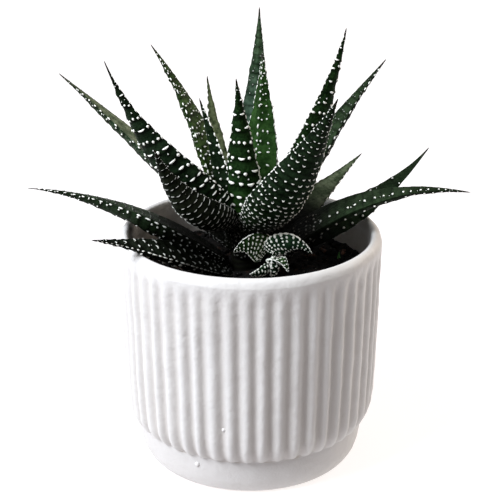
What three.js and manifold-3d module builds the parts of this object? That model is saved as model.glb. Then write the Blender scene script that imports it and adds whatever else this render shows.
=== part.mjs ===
// A haworthia in a ribbed, white glazed pot. Millimetres, +Z up, origin at the middle of the pot's underside.
import * as THREE from 'three';
import Module from 'manifold-3d';
import { mergeVertices } from 'three/addons/utils/BufferGeometryUtils.js';

const wasm = await Module();
wasm.setup();

// Driving dimensions of the pot
const POT_RADIUS = 47.5;
const POT_HEIGHT = 86;
const FOOT_HEIGHT = 14.6;
const FOOT_RADIUS = 41.9;
const BASE_RADIUS = 36.5;
const RIM_INNER_RADIUS = 43.6;
const FLOOR_THICKNESS = 5;
const RIBS = 50;
const RIB_TURN = 2.4;          // degrees that the front groove stands to the right of the middle
const GROOVE_DEPTH = 1.1;
const GROOVE_TOP = 82.4;

// Driving dimensions of the soil and of the gaps between pieces
const SOIL_TOP = 71;
const SOIL_WAVE = 0.35;
const GAP = 0.3;
const LEAF_GAP = 0.5;       // between leaves, measured on a coarser grid than the leaves have

// Crown of the rosette: the leaves grow round this upright line
const CROWN = { x: -2, y: 2 };
const STEM = { rootRadius: 5.2, topRadius: 3.4, bottom: 58, top: 92 };
const PUP = { x: 7, y: -5, rootRadius: 2.1, topRadius: 1.5, bottom: 64, top: 79 };

// Grid and relief of a leaf
const FULL_LEAF = { stations: 16, upperColumns: 3, lowerColumns: 8, bump: 0.5 };
const PUP_LEAF = { stations: 10, upperColumns: 3, lowerColumns: 6, bump: 0.25 };
const FINE_STEPS = 80;       // steps along the middle line, which every count of stations divides
const SHEATH_STATIONS = 2;
const FULLER = 0.35;         // how much less slender the tip is in thickness than in width

// One row a leaf: turn and rise in degrees at the root, rise at the tip, swing of the turn to the tip,
// length, width, thickness, roll about its own line, reach of the root from the crown line, root height,
// the length of the sheath that goes on down along the stem from the root, and how slender the tip is.
// Each row yields to the rows before it where their roots press together.
const leaf = (name, turn, rise, riseTip, swing, length, width, thick, roll, reach, height, sheath = 0,
  slender = 1.45) =>
  ({ name, turn, rise, riseTip, swing, length, width, thick, roll, reach, height, sheath, slender });
const PUP_LEAVES = [
  leaf('pup_leaf_front', 288, 72, 82, -5, 11, 6, 2.2, 60, 2.0, 71.4),
  leaf('pup_leaf_right', 342, 69, -61, 0, 18.5, 10, 2.6, -65, 1.1, 78.8),
  leaf('pup_leaf_left', 223, 64, -34, -15, 17.5, 10.5, 2.6, -84, 1.3, 78.3),
  leaf('pup_leaf_low_right', 306, 56, -67, -3, 12.5, 6.2, 2.2, -6, 1.2, 76),
  leaf('pup_leaf_low_left', 243, -3, 11, -5, 14, 5, 2.2, 56, 1.5, 75),
];
const LEAVES = [
  leaf('leaf_centre_front', 264, 88, 73, -14, 57, 11.8, 5.0, 3, 3, 88, 12),
  leaf('leaf_centre_left', 192, 78, 70, 4, 47, 10, 4.0, 13, 3, 90, 10),
  leaf('leaf_tall_front', 58, 69, 96, 0, 62, 15, 5.0, 3, 3.5, 87, 8),
  leaf('leaf_tall', 78, 64, 88, -3, 79, 14, 5.0, 0, 5, 85, 6),
  leaf('leaf_back_left', 149, 77, 46, 2, 72, 14.5, 5.0, 10, 5, 86, 8),
  leaf('leaf_back_slim', 119, 57, 75, 0, 57, 9, 4.5, 10, 5, 84, 4),
  leaf('leaf_right_up', 344, 58, 77.5, 2, 80, 15.5, 5.0, -31, 5, 87, 10),
  leaf('leaf_left_broad', 202, 35, 70, -3, 73.5, 16.5, 5.5, 39, 5, 94.2, 15, 1.9),
  leaf('leaf_right_broad', 308, 45, 59, -2, 72, 19, 6.0, -29, 5, 88, 12),
  leaf('leaf_right_behind', 19, 58, 47.2, -2, 78, 15, 5.0, 7, 6, 82, 6),
  leaf('leaf_front_left', 223, 17, 71, 2, 50, 13, 5.0, 49, 6, 91, 14),
  leaf('leaf_left_up', 162, 41.5, 35, 2, 82, 18, 5.0, 11, 6, 87, 9),
  leaf('leaf_back_up', 92, 40, 34, 0, 58, 14, 4.5, 0, 5, 81, 5),
  leaf('leaf_right_smooth', 36, 26, 28, 2, 56, 15, 4.5, 6, 6, 78),
  leaf('leaf_right_curved', 14, 3, 50, 0, 72, 13.5, 4.5, 33, 7, 80),
  leaf('leaf_back_left_low', 131, 26, 18, 0, 58, 14, 4.5, 0, 6, 79),
  leaf('leaf_right_long', 358, 52, -10, 0, 83, 17, 4.7, 5, 7, 71.5),
  leaf('leaf_left_long', 177, 36.5, 1.5, 0, 77, 20.5, 7.0, 14, 7, 74.6, 0, 1.85),
  leaf('leaf_back_low', 104, 26, 19, 0, 58, 14, 4.5, 0, 6, 76),
  leaf('leaf_back_right_low', 66, 27, 20, 0, 50, 13, 4.5, 0, 6, 77),
  leaf('leaf_left_low', 215, 30.5, 15, 0, 61, 15, 5.2, -17, 6, 71.4),
];

// Bits of bark on the soil: place, heading in degrees, length, width, height
const BARK = [
  { x: 25, y: 22, heading: 62, length: 9, width: 1.8, height: 1.3 },
  { x: 28, y: 14, heading: 120, length: 7, width: 1.5, height: 1.2 },
  { x: 35, y: 13, heading: 78, length: 6, width: 1.6, height: 1.2 },
  { x: 22, y: 10, heading: 20, length: 5, width: 1.4, height: 1.1 },
  { x: -18, y: -24, heading: 150, length: 6, width: 1.6, height: 1.2 },
];
const SPROUT = { x: 32.5, y: 6, turn: 70, rise: 78, length: 5.5, width: 1.8, thick: 1.1 };

// Colours of the real materials
const finish = (color, roughness) => new THREE.MeshStandardMaterial({ color, roughness, metalness: 0 });
const glaze = finish(0xf1eeea, 0.25);
const earth = finish(0x1c1613, 0.95);
const darkLeaf = finish(0x1f3a20, 0.55);
const paleLeaf = finish(0x4f6a4a, 0.6);
const stemFlesh = finish(0x50602c, 0.7);
const bark = finish(0x7a4630, 0.85);
const sproutGreen = finish(0x6fae3a, 0.6);

const radians = THREE.MathUtils.degToRad;

// Closed surface from rings of points. Rings of unlike count are stitched, and a ring of one point is a pole.
function surfaceFromRings(rings) {
  const positions = [];
  const starts = [];
  for (const ring of rings) {
    starts.push(positions.length / 3);
    for (const point of ring) positions.push(point.x, point.y, point.z);
  }
  const faces = [];
  for (let r = 0; r + 1 < rings.length; r += 1) {
    const low = (k) => starts[r] + (k % rings[r].length);
    const high = (k) => starts[r + 1] + (k % rings[r + 1].length);
    stitch(faces, low, rings[r].length, high, rings[r + 1].length);
  }
  const geometry = new THREE.BufferGeometry();
  geometry.setAttribute('position', new THREE.Float32BufferAttribute(positions, 3));
  geometry.setIndex(faces);
  if (signedVolume(geometry) < 0) turnInsideOut(geometry);
  return geometry;
}

// Triangles between two rings whose counts divide each other. A pole counts as a ring of one.
function stitch(faces, low, lowCount, high, highCount) {
  const spans = lowCount === 1 || highCount === 1 ? Math.max(lowCount, highCount)
    : Math.min(lowCount, highCount);
  const lowStep = lowCount === 1 ? 0 : lowCount / spans;
  const highStep = highCount === 1 ? 0 : highCount / spans;
  for (let k = 0; k < spans; k += 1) {
    let i = 0;
    let j = 0;
    while (i < lowStep || j < highStep) {
      const a = low(lowCount === 1 ? 0 : k * lowStep + i);
      const b = high(highCount === 1 ? 0 : k * highStep + j);
      const lowNext = i < lowStep && (j >= highStep || (i + 1) / lowStep <= (j + 1) / highStep);
      if (lowNext) {
        faces.push(a, low(k * lowStep + i + 1), b);
        i += 1;
      } else {
        faces.push(a, high(k * highStep + j + 1), b);
        j += 1;
      }
    }
  }
}

function signedVolume(geometry) {
  const position = geometry.attributes.position;
  const index = geometry.index;
  const [a, b, c] = [new THREE.Vector3(), new THREE.Vector3(), new THREE.Vector3()];
  let total = 0;
  for (let f = 0; f < index.count; f += 3) {
    a.fromBufferAttribute(position, index.getX(f));
    b.fromBufferAttribute(position, index.getX(f + 1));
    c.fromBufferAttribute(position, index.getX(f + 2));
    total += a.dot(b.cross(c)) / 6;
  }
  return total;
}

function turnInsideOut(geometry) {
  const index = geometry.index;
  for (let f = 0; f < index.count; f += 3) {
    const second = index.getX(f + 1);
    index.setX(f + 1, index.getX(f + 2));
    index.setX(f + 2, second);
  }
}

// Solids for cutting, and the way back to a geometry
function toSolid(geometry) {
  const bare = new THREE.BufferGeometry();
  bare.setAttribute('position', geometry.attributes.position.clone());
  bare.setIndex(geometry.index ? geometry.index.clone() : null);
  const merged = mergeVertices(bare);
  return new wasm.Manifold(new wasm.Mesh({
    numProp: 3,
    vertProperties: new Float32Array(merged.attributes.position.array),
    triVerts: new Uint32Array(merged.index.array),
  }));
}

function toGeometry(solid) {
  const mesh = solid.getMesh();
  const geometry = new THREE.BufferGeometry();
  geometry.setAttribute('position', new THREE.BufferAttribute(new Float32Array(mesh.vertProperties), 3));
  geometry.setIndex(new THREE.BufferAttribute(new Uint32Array(mesh.triVerts), 1));
  return geometry;
}

function largestBody(solid) {
  return solid.decompose().reduce((best, body) => (body.volume() > best.volume() ? body : best));
}

function cutAway(solid, cutters) {
  return largestBody(cutters.reduce((rest, cutter) => rest.subtract(cutter), solid));
}

// Pot: rings go from the middle of the underside up the outside, over the lip and down to the floor inside
function plainRing(radius, z, count = RIBS) {
  return Array.from({ length: count }, (_, k) => {
    const angle = radians(RIB_TURN - 90) + (k / count) * 2 * Math.PI;
    return new THREE.Vector3(radius * Math.cos(angle), radius * Math.sin(angle), z);
  });
}

function ribbedRing(radius, z, strength) {
  const places = [0, 0.33, 0.67];      // along one rib, from groove to groove
  const ring = [];
  for (let rib = 0; rib < RIBS; rib += 1) {
    for (const place of places) {
      const depth = GROOVE_DEPTH * strength * Math.cos(Math.PI * place) ** 2;
      const angle = radians(RIB_TURN - 90) + ((rib + place) / RIBS) * 2 * Math.PI;
      const r = radius - depth;
      ring.push(new THREE.Vector3(r * Math.cos(angle), r * Math.sin(angle), z));
    }
  }
  return ring;
}

function potGeometry() {
  const pole = (z) => [new THREE.Vector3(0, 0, z)];
  return surfaceFromRings([
    pole(0),
    plainRing(BASE_RADIUS, 0),
    plainRing(BASE_RADIUS + 2.4, 0.9),
    plainRing(FOOT_RADIUS - 1.4, 3.4),
    plainRing(FOOT_RADIUS - 0.4, 7),
    plainRing(FOOT_RADIUS, FOOT_HEIGHT - 1.3),
    plainRing(FOOT_RADIUS - 0.5, FOOT_HEIGHT - 0.5),
    plainRing(FOOT_RADIUS + 0.5, FOOT_HEIGHT),
    ribbedRing(POT_RADIUS - 4.0, FOOT_HEIGHT + 1.1, 0.75),
    ribbedRing(POT_RADIUS - 2.3, FOOT_HEIGHT + 3.6, 1),
    ribbedRing(POT_RADIUS - 1.3, FOOT_HEIGHT + 8, 1),
    ribbedRing(POT_RADIUS - 0.8, FOOT_HEIGHT + 20, 1),
    ribbedRing(POT_RADIUS, GROOVE_TOP - 3.5, 1),
    ribbedRing(POT_RADIUS, GROOVE_TOP - 1.4, 0.85),
    ribbedRing(POT_RADIUS, GROOVE_TOP - 0.5, 0.45),
    plainRing(POT_RADIUS, GROOVE_TOP),
    plainRing(POT_RADIUS - 0.15, POT_HEIGHT - 2.3),
    plainRing(POT_RADIUS - 0.6, POT_HEIGHT - 0.9),
    plainRing(POT_RADIUS - 1.6, POT_HEIGHT),
    plainRing(RIM_INNER_RADIUS + 0.7, POT_HEIGHT - 0.1),
    plainRing(RIM_INNER_RADIUS + 0.1, POT_HEIGHT - 1.2),
    plainRing(RIM_INNER_RADIUS, POT_HEIGHT - 4),
    plainRing(RIM_INNER_RADIUS - 1.0, FLOOR_THICKNESS + 17),
    plainRing(RIM_INNER_RADIUS - 3.6, FLOOR_THICKNESS + 3),
    plainRing(RIM_INNER_RADIUS - 7.6, FLOOR_THICKNESS),
    pole(FLOOR_THICKNESS),
  ]);
}

// Soil: fills the pot with a small gap all round, and its top is gently uneven
const soilHeight = (x, y) => SOIL_TOP + SOIL_WAVE * (Math.sin(x / 5) * Math.cos(y / 6) + Math.sin(y / 9));

function soilGeometry() {
  const count = RIBS / 2;
  const radius = RIM_INNER_RADIUS - GAP;
  const topRing = (r) => plainRing(r, 0, count).map((p) => p.setZ(soilHeight(p.x, p.y)));
  return surfaceFromRings([
    [new THREE.Vector3(0, 0, FLOOR_THICKNESS + GAP)],
    plainRing(radius - 7.9, FLOOR_THICKNESS + GAP, count),
    plainRing(radius - 4.0, FLOOR_THICKNESS + 3.2, count),
    plainRing(radius - 1.1, FLOOR_THICKNESS + 17, count),
    topRing(radius - 0.3),
    topRing(radius - 6),
    topRing(radius - 14),
    topRing(radius - 23),
    topRing(radius - 33),
    [new THREE.Vector3(0, 0, soilHeight(0, 0))],
  ]);
}

// Leaf: a long keeled blade whose middle line bends from its root to its tip, with a sheath below the root
function bladeFrame(spec, t) {
  const shareOfSheath = Math.max(0, -t * spec.length / (spec.sheath || 1));
  const blade = Math.max(0, t);
  const rise = radians(THREE.MathUtils.lerp(spec.rise + (spec.riseTip - spec.rise) * blade, 88,
    Math.min(1, shareOfSheath * 1.4)));
  const heading = radians(spec.turn + spec.swing * blade);
  const along = new THREE.Vector3(
    Math.cos(rise) * Math.cos(heading), Math.cos(rise) * Math.sin(heading), Math.sin(rise));
  const level = new THREE.Vector3(
    -Math.sin(rise) * Math.cos(heading), -Math.sin(rise) * Math.sin(heading), Math.cos(rise));
  const up = level.applyAxisAngle(along, radians(spec.roll));
  return { t, along, up, side: new THREE.Vector3().crossVectors(along, up) };
}

function leafFrames(spec, origin, stations) {
  const turn = radians(spec.turn);
  const root = new THREE.Vector3(
    origin.x + spec.reach * Math.cos(turn), origin.y + spec.reach * Math.sin(turn), spec.height);
  const frames = [];
  const position = root.clone();
  for (let i = 0; i <= FINE_STEPS; i += 1) {
    const frame = bladeFrame(spec, i / FINE_STEPS);
    if (i % (FINE_STEPS / stations) === 0) frames.push({ ...frame, position: position.clone() });
    position.addScaledVector(frame.along, spec.length / FINE_STEPS);
  }
  if (spec.sheath > 0) {
    position.copy(root);
    for (let i = 1; i <= SHEATH_STATIONS; i += 1) {
      const step = spec.sheath / SHEATH_STATIONS;
      const frame = bladeFrame(spec, -(i * step) / spec.length);
      position.addScaledVector(frame.along, -step);
      frames.unshift({ ...frame, position: position.clone() });
    }
  }
  return frames;
}

function leafGeometry(spec, origin, grid, grow = 0) {
  const frames = leafFrames(spec, origin, grid.stations);
  frames[0].position.addScaledVector(frames[0].along, -grow);
  frames[frames.length - 1].position.addScaledVector(frames[frames.length - 1].along, grow);
  const rings = frames.slice(0, -1).map((frame, row) => {
    const place = (across, out) => frame.position.clone()
      .addScaledVector(frame.side, across).addScaledVector(frame.up, out);
    const fromTip = 1 - Math.max(0, frame.t);
    const nearRoot = Math.min(1, Math.max(0, (0.25 - frame.t) / 0.25));
    const half = grow + (spec.width / 2) * (1 - 0.45 * nearRoot ** 2)
      * Math.sin((Math.PI / 2) * Math.min(1, fromTip / 0.78)) ** spec.slender;
    const thick = grow + spec.thick * (1 - 0.35 * nearRoot ** 2)
      * Math.sin((Math.PI / 2) * Math.min(1, fromTip / 0.85)) ** (spec.slender - FULLER);
    const crown = thick * (0.10 - 0.18 * fromTip);
    const ring = [];
    for (let k = 0; k < grid.upperColumns; k += 1) {
      const u = Math.cos((Math.PI * k) / grid.upperColumns);
      ring.push(place(half * u, grow + crown * (1 - u * u)));
    }
    for (let k = 0; k < grid.lowerColumns; k += 1) {
      const angle = Math.PI + (Math.PI * k) / grid.lowerColumns;
      const u = Math.cos(angle);
      const v = Math.sin(angle);
      const raised = grow > 0 || (row > 0 && k > 0 && (row + k) % 2 === 1);
      const bump = raised ? grid.bump * Math.min(1, fromTip * 3) : 0;
      const depth = thick * Math.abs(v) ** (1 + 0.35 * (1 - fromTip));
      ring.push(place(half * u + bump * u, -depth + bump * v));
    }
    return ring;
  });
  const root = frames[0].position.clone().addScaledVector(frames[0].up, -spec.thick * 0.2);
  const tip = frames[frames.length - 1].position.clone();
  return surfaceFromRings([[root], ...rings, [tip]]);
}

// Stem: a short upright taper with a rounded top
function stemGeometry(size, grow = 0) {
  const radius = size.rootRadius + grow;
  const topRadius = size.topRadius + grow;
  const outline = [
    new THREE.Vector2(0, size.bottom - grow),
    new THREE.Vector2(radius, size.bottom - grow),
    new THREE.Vector2(radius, SOIL_TOP + 2),
    new THREE.Vector2(topRadius, size.top - 1.5),
    new THREE.Vector2(topRadius * 0.6, size.top + grow * 0.8),
    new THREE.Vector2(0, size.top + grow),
  ];
  const geometry = new THREE.LatheGeometry(outline, 14);
  geometry.rotateX(Math.PI / 2);
  geometry.translate(size.x, size.y, 0);
  return geometry;
}

// Bark: a bit of bark with bevelled ends, lying in the soil's top
function barkGeometry(bit, grow = 0) {
  const outline = new THREE.Shape();
  const end = bit.length / 2 + grow;
  const side = bit.width / 2 + grow;
  outline.moveTo(-end, -side * 0.4);
  outline.lineTo(-end * 0.6, -side);
  outline.lineTo(end * 0.8, -side * 0.8);
  outline.lineTo(end, side * 0.3);
  outline.lineTo(end * 0.3, side);
  outline.lineTo(-end * 0.9, side * 0.7);
  const geometry = new THREE.ExtrudeGeometry(outline, { depth: bit.height + grow, bevelEnabled: false });
  geometry.rotateZ(radians(bit.heading));
  geometry.translate(bit.x, bit.y, soilHeight(bit.x, bit.y) - bit.height * 0.35 - grow / 2);
  return geometry;
}

// The object
const haworthia = new THREE.Group();

function addMesh(name, geometry, material) {
  geometry.computeVertexNormals();
  const mesh = new THREE.Mesh(geometry, material);
  mesh.name = name;
  haworthia.add(mesh);
}

const mainStem = { ...STEM, x: CROWN.x, y: CROWN.y };
const standing = [
  { name: 'main_stem', geometry: stemGeometry(mainStem), clear: stemGeometry(mainStem, GAP) },
  { name: 'pup_stem', geometry: stemGeometry(PUP), clear: stemGeometry(PUP, GAP) },
];
const cutters = [];
for (const { name, geometry, clear } of standing) {
  addMesh(name, geometry, stemFlesh);
  cutters.push(toSolid(clear));
}

const PALE_LEAVES = ['leaf_right_smooth', 'leaf_back_slim', 'leaf_left_up', 'leaf_back_left'];
const growing = [
  ...PUP_LEAVES.map((spec) => ({ spec, origin: PUP, grid: PUP_LEAF })),
  ...LEAVES.map((spec) => ({ spec, origin: CROWN, grid: FULL_LEAF })),
];
for (const { spec, origin, grid } of growing) {
  const whole = toSolid(leafGeometry(spec, origin, grid));
  const material = PALE_LEAVES.includes(spec.name) ? paleLeaf : darkLeaf;
  addMesh(spec.name, toGeometry(cutAway(whole, cutters)), material);
  cutters.push(toSolid(leafGeometry(spec, origin, { ...grid, stations: grid.stations / 2 }, LEAF_GAP)));
}

const sprout = leaf('sprout', SPROUT.turn, SPROUT.rise, SPROUT.rise, 0, SPROUT.length, SPROUT.width,
  SPROUT.thick, 0, 0, SOIL_TOP - 2);
const sproutGrid = { ...PUP_LEAF, stations: 5, bump: 0 };
addMesh('sprout', leafGeometry(sprout, SPROUT, sproutGrid), sproutGreen);
cutters.push(toSolid(leafGeometry(sprout, SPROUT, sproutGrid, GAP)));

BARK.forEach((bit, k) => {
  addMesh(`bark_${k + 1}`, barkGeometry(bit), bark);
  cutters.push(toSolid(barkGeometry(bit, GAP)));
});

addMesh('soil', toGeometry(cutAway(toSolid(soilGeometry()), cutters)), earth);
addMesh('pot', potGeometry(), glaze);

export default haworthia;
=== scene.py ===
"""The looks of a haworthia in a ribbed white pot, on a pale floor under soft light.

Shapes are worked out in millimetres and become metres when a mesh is made.
"""

import logging
import math
from dataclasses import dataclass
from enum import Enum
from functools import lru_cache

import bpy
import numpy as np
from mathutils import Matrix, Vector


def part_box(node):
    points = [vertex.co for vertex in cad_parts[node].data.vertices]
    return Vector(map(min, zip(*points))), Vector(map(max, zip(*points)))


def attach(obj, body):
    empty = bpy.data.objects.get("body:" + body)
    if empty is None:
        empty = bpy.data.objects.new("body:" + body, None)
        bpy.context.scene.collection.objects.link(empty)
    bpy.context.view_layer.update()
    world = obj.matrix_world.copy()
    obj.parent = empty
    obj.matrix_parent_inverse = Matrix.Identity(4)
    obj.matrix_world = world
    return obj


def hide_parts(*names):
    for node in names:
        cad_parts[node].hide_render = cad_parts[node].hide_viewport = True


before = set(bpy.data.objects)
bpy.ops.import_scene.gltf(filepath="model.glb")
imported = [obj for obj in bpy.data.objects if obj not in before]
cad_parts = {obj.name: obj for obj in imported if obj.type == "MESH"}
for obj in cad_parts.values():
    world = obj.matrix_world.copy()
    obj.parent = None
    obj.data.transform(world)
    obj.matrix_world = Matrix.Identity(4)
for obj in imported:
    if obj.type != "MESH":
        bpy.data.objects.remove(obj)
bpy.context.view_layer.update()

MM = 0.001
LOG = logging.getLogger("haworthia")

Array = np.ndarray
Colour = tuple[float, float, float]
Point = tuple[float, float, float]
FULL_TURN = 2 * math.pi


def paint(code: str) -> Colour:
    """Turns a colour code such as "#20402a" into the linear colour that a shader takes.

    Args:
        code: six hexadecimal digits after a hash sign.

    Returns:
        Red, green and blue, linear.
    """
    shares = [int(code[i:i + 2], 16) / 255 for i in (1, 3, 5)]
    return tuple(s / 12.92 if s <= 0.04045 else ((s + 0.055) / 1.055) ** 2.4 for s in shares)


def ease(value: Array, low: float, high: float) -> Array:
    """Goes smoothly from 0 at low to 1 at high.

    Args:
        value: what is eased, of any shape.
        low: where the result is 0.
        high: where the result is 1, which may lie below low.

    Returns:
        The eased share, of the same shape.
    """
    share = np.clip((value - low) / (high - low), 0, 1)
    return share * share * (3 - 2 * share)


def bend_through(points: list[tuple[float, ...]], samples: int) -> Array:
    """Samples a smooth curve that goes through all the points given.

    Args:
        points: the places it goes through, first and last included.
        samples: how many places come back, evenly spread along the line of points.

    Returns:
        One row a sample.
    """
    knots = np.array(points, float)
    padded = np.vstack([2 * knots[0] - knots[1], knots, 2 * knots[-1] - knots[-2]])
    steps = np.linalg.norm(np.diff(knots[:, :2], axis=0), axis=1)
    reached = np.concatenate([[0], np.cumsum(steps)])
    wanted = np.linspace(0, reached[-1], samples)
    span = np.clip(np.searchsorted(reached, wanted, side="right") - 1, 0, len(knots) - 2)
    share = ((wanted - reached[span]) / steps[span])[:, None]
    before, start, end, after = (padded[span + k] for k in range(4))
    return 0.5 * (2 * start + (end - before) * share
                  + (2 * before - 5 * start + 4 * end - after) * share ** 2
                  + (3 * start - before - 3 * end + after) * share ** 3)


def around(count: int) -> Array:
    """Spreads angles evenly over a full turn."""
    return np.linspace(0, FULL_TURN, count, endpoint=False)


def turned(radius: Array, angle: Array, height: Array, middle: tuple[float, float] = (0.0, 0.0)) -> Array:
    """Places points round an upright line.

    Args:
        radius: distance from the line.
        angle: round the line.
        height: above the floor.
        middle: x and y of the line.

    Returns:
        The points, with x, y and z last.
    """
    parts = (middle[0] + radius * np.cos(angle), middle[1] + radius * np.sin(angle), height)
    return np.stack(np.broadcast_arrays(*parts), axis=-1)


class Waves:
    """Gentle unevenness: a sum of waves in seeded directions."""

    COUNT = 14

    def __init__(self, seed: int, wavelength: float) -> None:
        """Draws the waves.

        Args:
            seed: of the random draw.
            wavelength: middle length of a wave, in millimetres.
        """
        draw = np.random.default_rng(seed)
        directions = draw.normal(size=(self.COUNT, 3))
        directions /= np.linalg.norm(directions, axis=1, keepdims=True)
        lengths = wavelength * draw.uniform(0.65, 1.5, size=(self.COUNT, 1))
        self.pulls = directions * FULL_TURN / lengths
        self.phases = draw.uniform(0, FULL_TURN, size=self.COUNT)

    def at(self, points: Array) -> Array:
        """Adds the waves up, mostly between -1 and 1.

        Args:
            points: places in millimetres, with x, y and z last.

        Returns:
            One number a place.
        """
        return np.sin(points @ self.pulls.T + self.phases).sum(axis=-1) / math.sqrt(self.COUNT)


@lru_cache
def ring_faces(rows: int, columns: int) -> tuple[Array, Array]:
    """Gives the faces of a closed skin made of rings, with one point at each end.

    Args:
        rows: number of rings.
        columns: points in each ring.

    Returns:
        The quads and the triangles, on points numbered ring by ring and then the two ends.
    """
    here = np.arange(rows * columns).reshape(rows, columns)
    right = np.roll(here, -1, axis=1)
    quads = np.stack([here[:-1], right[:-1], right[1:], here[1:]], axis=-1).reshape(-1, 4)
    first = np.full(columns, rows * columns)
    fans = [np.stack([first, right[0], here[0]], axis=-1),
            np.stack([first + 1, here[-1], right[-1]], axis=-1)]
    return quads, np.vstack(fans)


class Form:
    """Gathers closed skins of rings, in millimetres, and makes one smooth mesh of them."""

    def __init__(self) -> None:
        """Starts with nothing in it."""
        self.points: list[Array] = []
        self.faces: list[list[int]] = []
        self.marks: dict[str, list[Array]] = {}
        self.count = 0

    def add(self, rings: Array, ends: Array, **marks: Array) -> None:
        """Adds skins that all have the same number of rings and columns.

        Args:
            rings: skins, rings, columns, then x, y and z.
            ends: skins, the two closing points, then x, y and z.
            marks: numbers kept at each point for the shaders, in the order of the points: skins,
                then the points ring by ring and the two ends.
        """
        skins, rows, columns, _ = rings.shape
        points = np.concatenate([rings.reshape(skins, -1, 3), ends], axis=1)
        quads, fans = ring_faces(rows, columns)
        middle = points.mean(axis=1, keepdims=True)
        corners = (points - middle)[:, quads[:, :3]]
        volume = np.einsum("sfk,sfk->s", corners[:, :, 0], np.cross(corners[:, :, 1], corners[:, :, 2]))
        for skin in range(skins):
            offset = self.count + skin * points.shape[1]
            way = 1 if volume[skin] > 0 else -1
            self.faces += (quads[:, ::way] + offset).tolist()
            self.faces += (fans[:, ::way] + offset).tolist()
        self.points.append(points.reshape(-1, 3))
        for name, values in marks.items():
            self.marks.setdefault(name, []).append(np.broadcast_to(values, points.shape[:2]).ravel())
        self.count += skins * points.shape[1]

    def piece(self, name: str, finish: bpy.types.Material) -> bpy.types.Object:
        """Makes the object, in metres, and rides it on the body.

        Args:
            name: of the piece.
            finish: its material.

        Returns:
            The new object.
        """
        mesh = bpy.data.meshes.new(name)
        mesh.from_pydata((np.vstack(self.points) * MM).tolist(), [], self.faces)
        for mark, values in self.marks.items():
            layer = mesh.attributes.new(mark, "FLOAT", "POINT")
            layer.data.foreach_set("value", np.concatenate(values).astype(np.float32))
        mesh.shade_smooth()
        mesh.materials.append(finish)
        made = bpy.data.objects.new(name, mesh)
        bpy.context.scene.collection.objects.link(made)
        LOG.info("%s: %d faces", name, len(self.faces))
        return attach(made, "root")


class Signal:
    """A shader socket, on which plain arithmetic adds Math nodes."""

    def __init__(self, nodes: "Nodes", socket: bpy.types.NodeSocket) -> None:
        """Keeps the socket and the tree it belongs to."""
        self.nodes = nodes
        self.socket = socket

    def _maths(self, operation: str, first: "Signal | float", second: "Signal | float") -> "Signal":
        """Adds one Math node and gives its result."""
        return self.nodes.node("ShaderNodeMath", {"operation": operation}, {0: first, 1: second})

    def __add__(self, other: "Signal | float") -> "Signal":
        """Adds."""
        return self._maths("ADD", self, other)

    def __radd__(self, other: float) -> "Signal":
        """Adds, with the number first."""
        return self._maths("ADD", other, self)

    def __sub__(self, other: "Signal | float") -> "Signal":
        """Subtracts."""
        return self._maths("SUBTRACT", self, other)

    def __rsub__(self, other: float) -> "Signal":
        """Subtracts from a number."""
        return self._maths("SUBTRACT", other, self)

    def __mul__(self, other: "Signal | float") -> "Signal":
        """Multiplies."""
        return self._maths("MULTIPLY", self, other)

    def __rmul__(self, other: float) -> "Signal":
        """Multiplies, with the number first."""
        return self._maths("MULTIPLY", other, self)


class Nodes:
    """A node tree in the making."""

    # Places of the colour sockets on a Mix node, which has sockets of the same names for each kind
    SHARE, FIRST, SECOND, MIXED = 0, 6, 7, 2

    def __init__(self, tree: bpy.types.NodeTree) -> None:
        """Keeps the tree."""
        self.tree = tree

    def node(self, kind: str, settings: dict[str, object] | None = None,
             inputs: dict[int | str, object] | None = None, output: int | str = 0) -> Signal:
        """Adds a node: its settings first, then the values or links of its sockets.

        Args:
            kind: type of the node.
            settings: its properties, such as the operation of a Math node.
            inputs: a number, colour or Signal for each socket, by its name or place.
            output: the socket that is wanted, by its name or place.

        Returns:
            The wanted output.
        """
        made = self.tree.nodes.new(kind)
        for name, value in (settings or {}).items():
            setattr(made, name, value)
        for key, value in (inputs or {}).items():
            self.feed(made.inputs[key], value)
        return Signal(self, made.outputs[output])

    def feed(self, socket: bpy.types.NodeSocket, value: object) -> None:
        """Links a Signal to a socket, or sets the socket to a number or colour.

        Args:
            socket: the input.
            value: a Signal, a number or a colour.
        """
        if isinstance(value, Signal):
            self.tree.links.new(value.socket, socket)
        elif socket.type == "RGBA":
            socket.default_value = (*value, 1)
        else:
            socket.default_value = value

    def eased(self, value: Signal, low: float, high: float, start: float = 0.0, end: float = 1.0) -> Signal:
        """Goes smoothly from start to end as a value goes from low to high.

        Args:
            value: what is eased.
            low: where it starts.
            high: where it ends.
            start: the result at low.
            end: the result at high.

        Returns:
            The eased value.
        """
        return self.node("ShaderNodeMapRange", {"interpolation_type": "SMOOTHSTEP"},
                         {"Value": value, "From Min": low, "From Max": high, "To Min": start, "To Max": end},
                         output="Result")

    def blend(self, share: "Signal | float", first: object, second: object, way: str = "MIX") -> Signal:
        """Mixes two colours.

        Args:
            share: how much of the second there is.
            first: a colour or a Signal.
            second: a colour or a Signal.
            way: how they blend.

        Returns:
            The mixed colour.
        """
        return self.node("ShaderNodeMix", {"data_type": "RGBA", "blend_type": way},
                         {self.SHARE: share, self.FIRST: first, self.SECOND: second}, output=self.MIXED)


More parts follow.
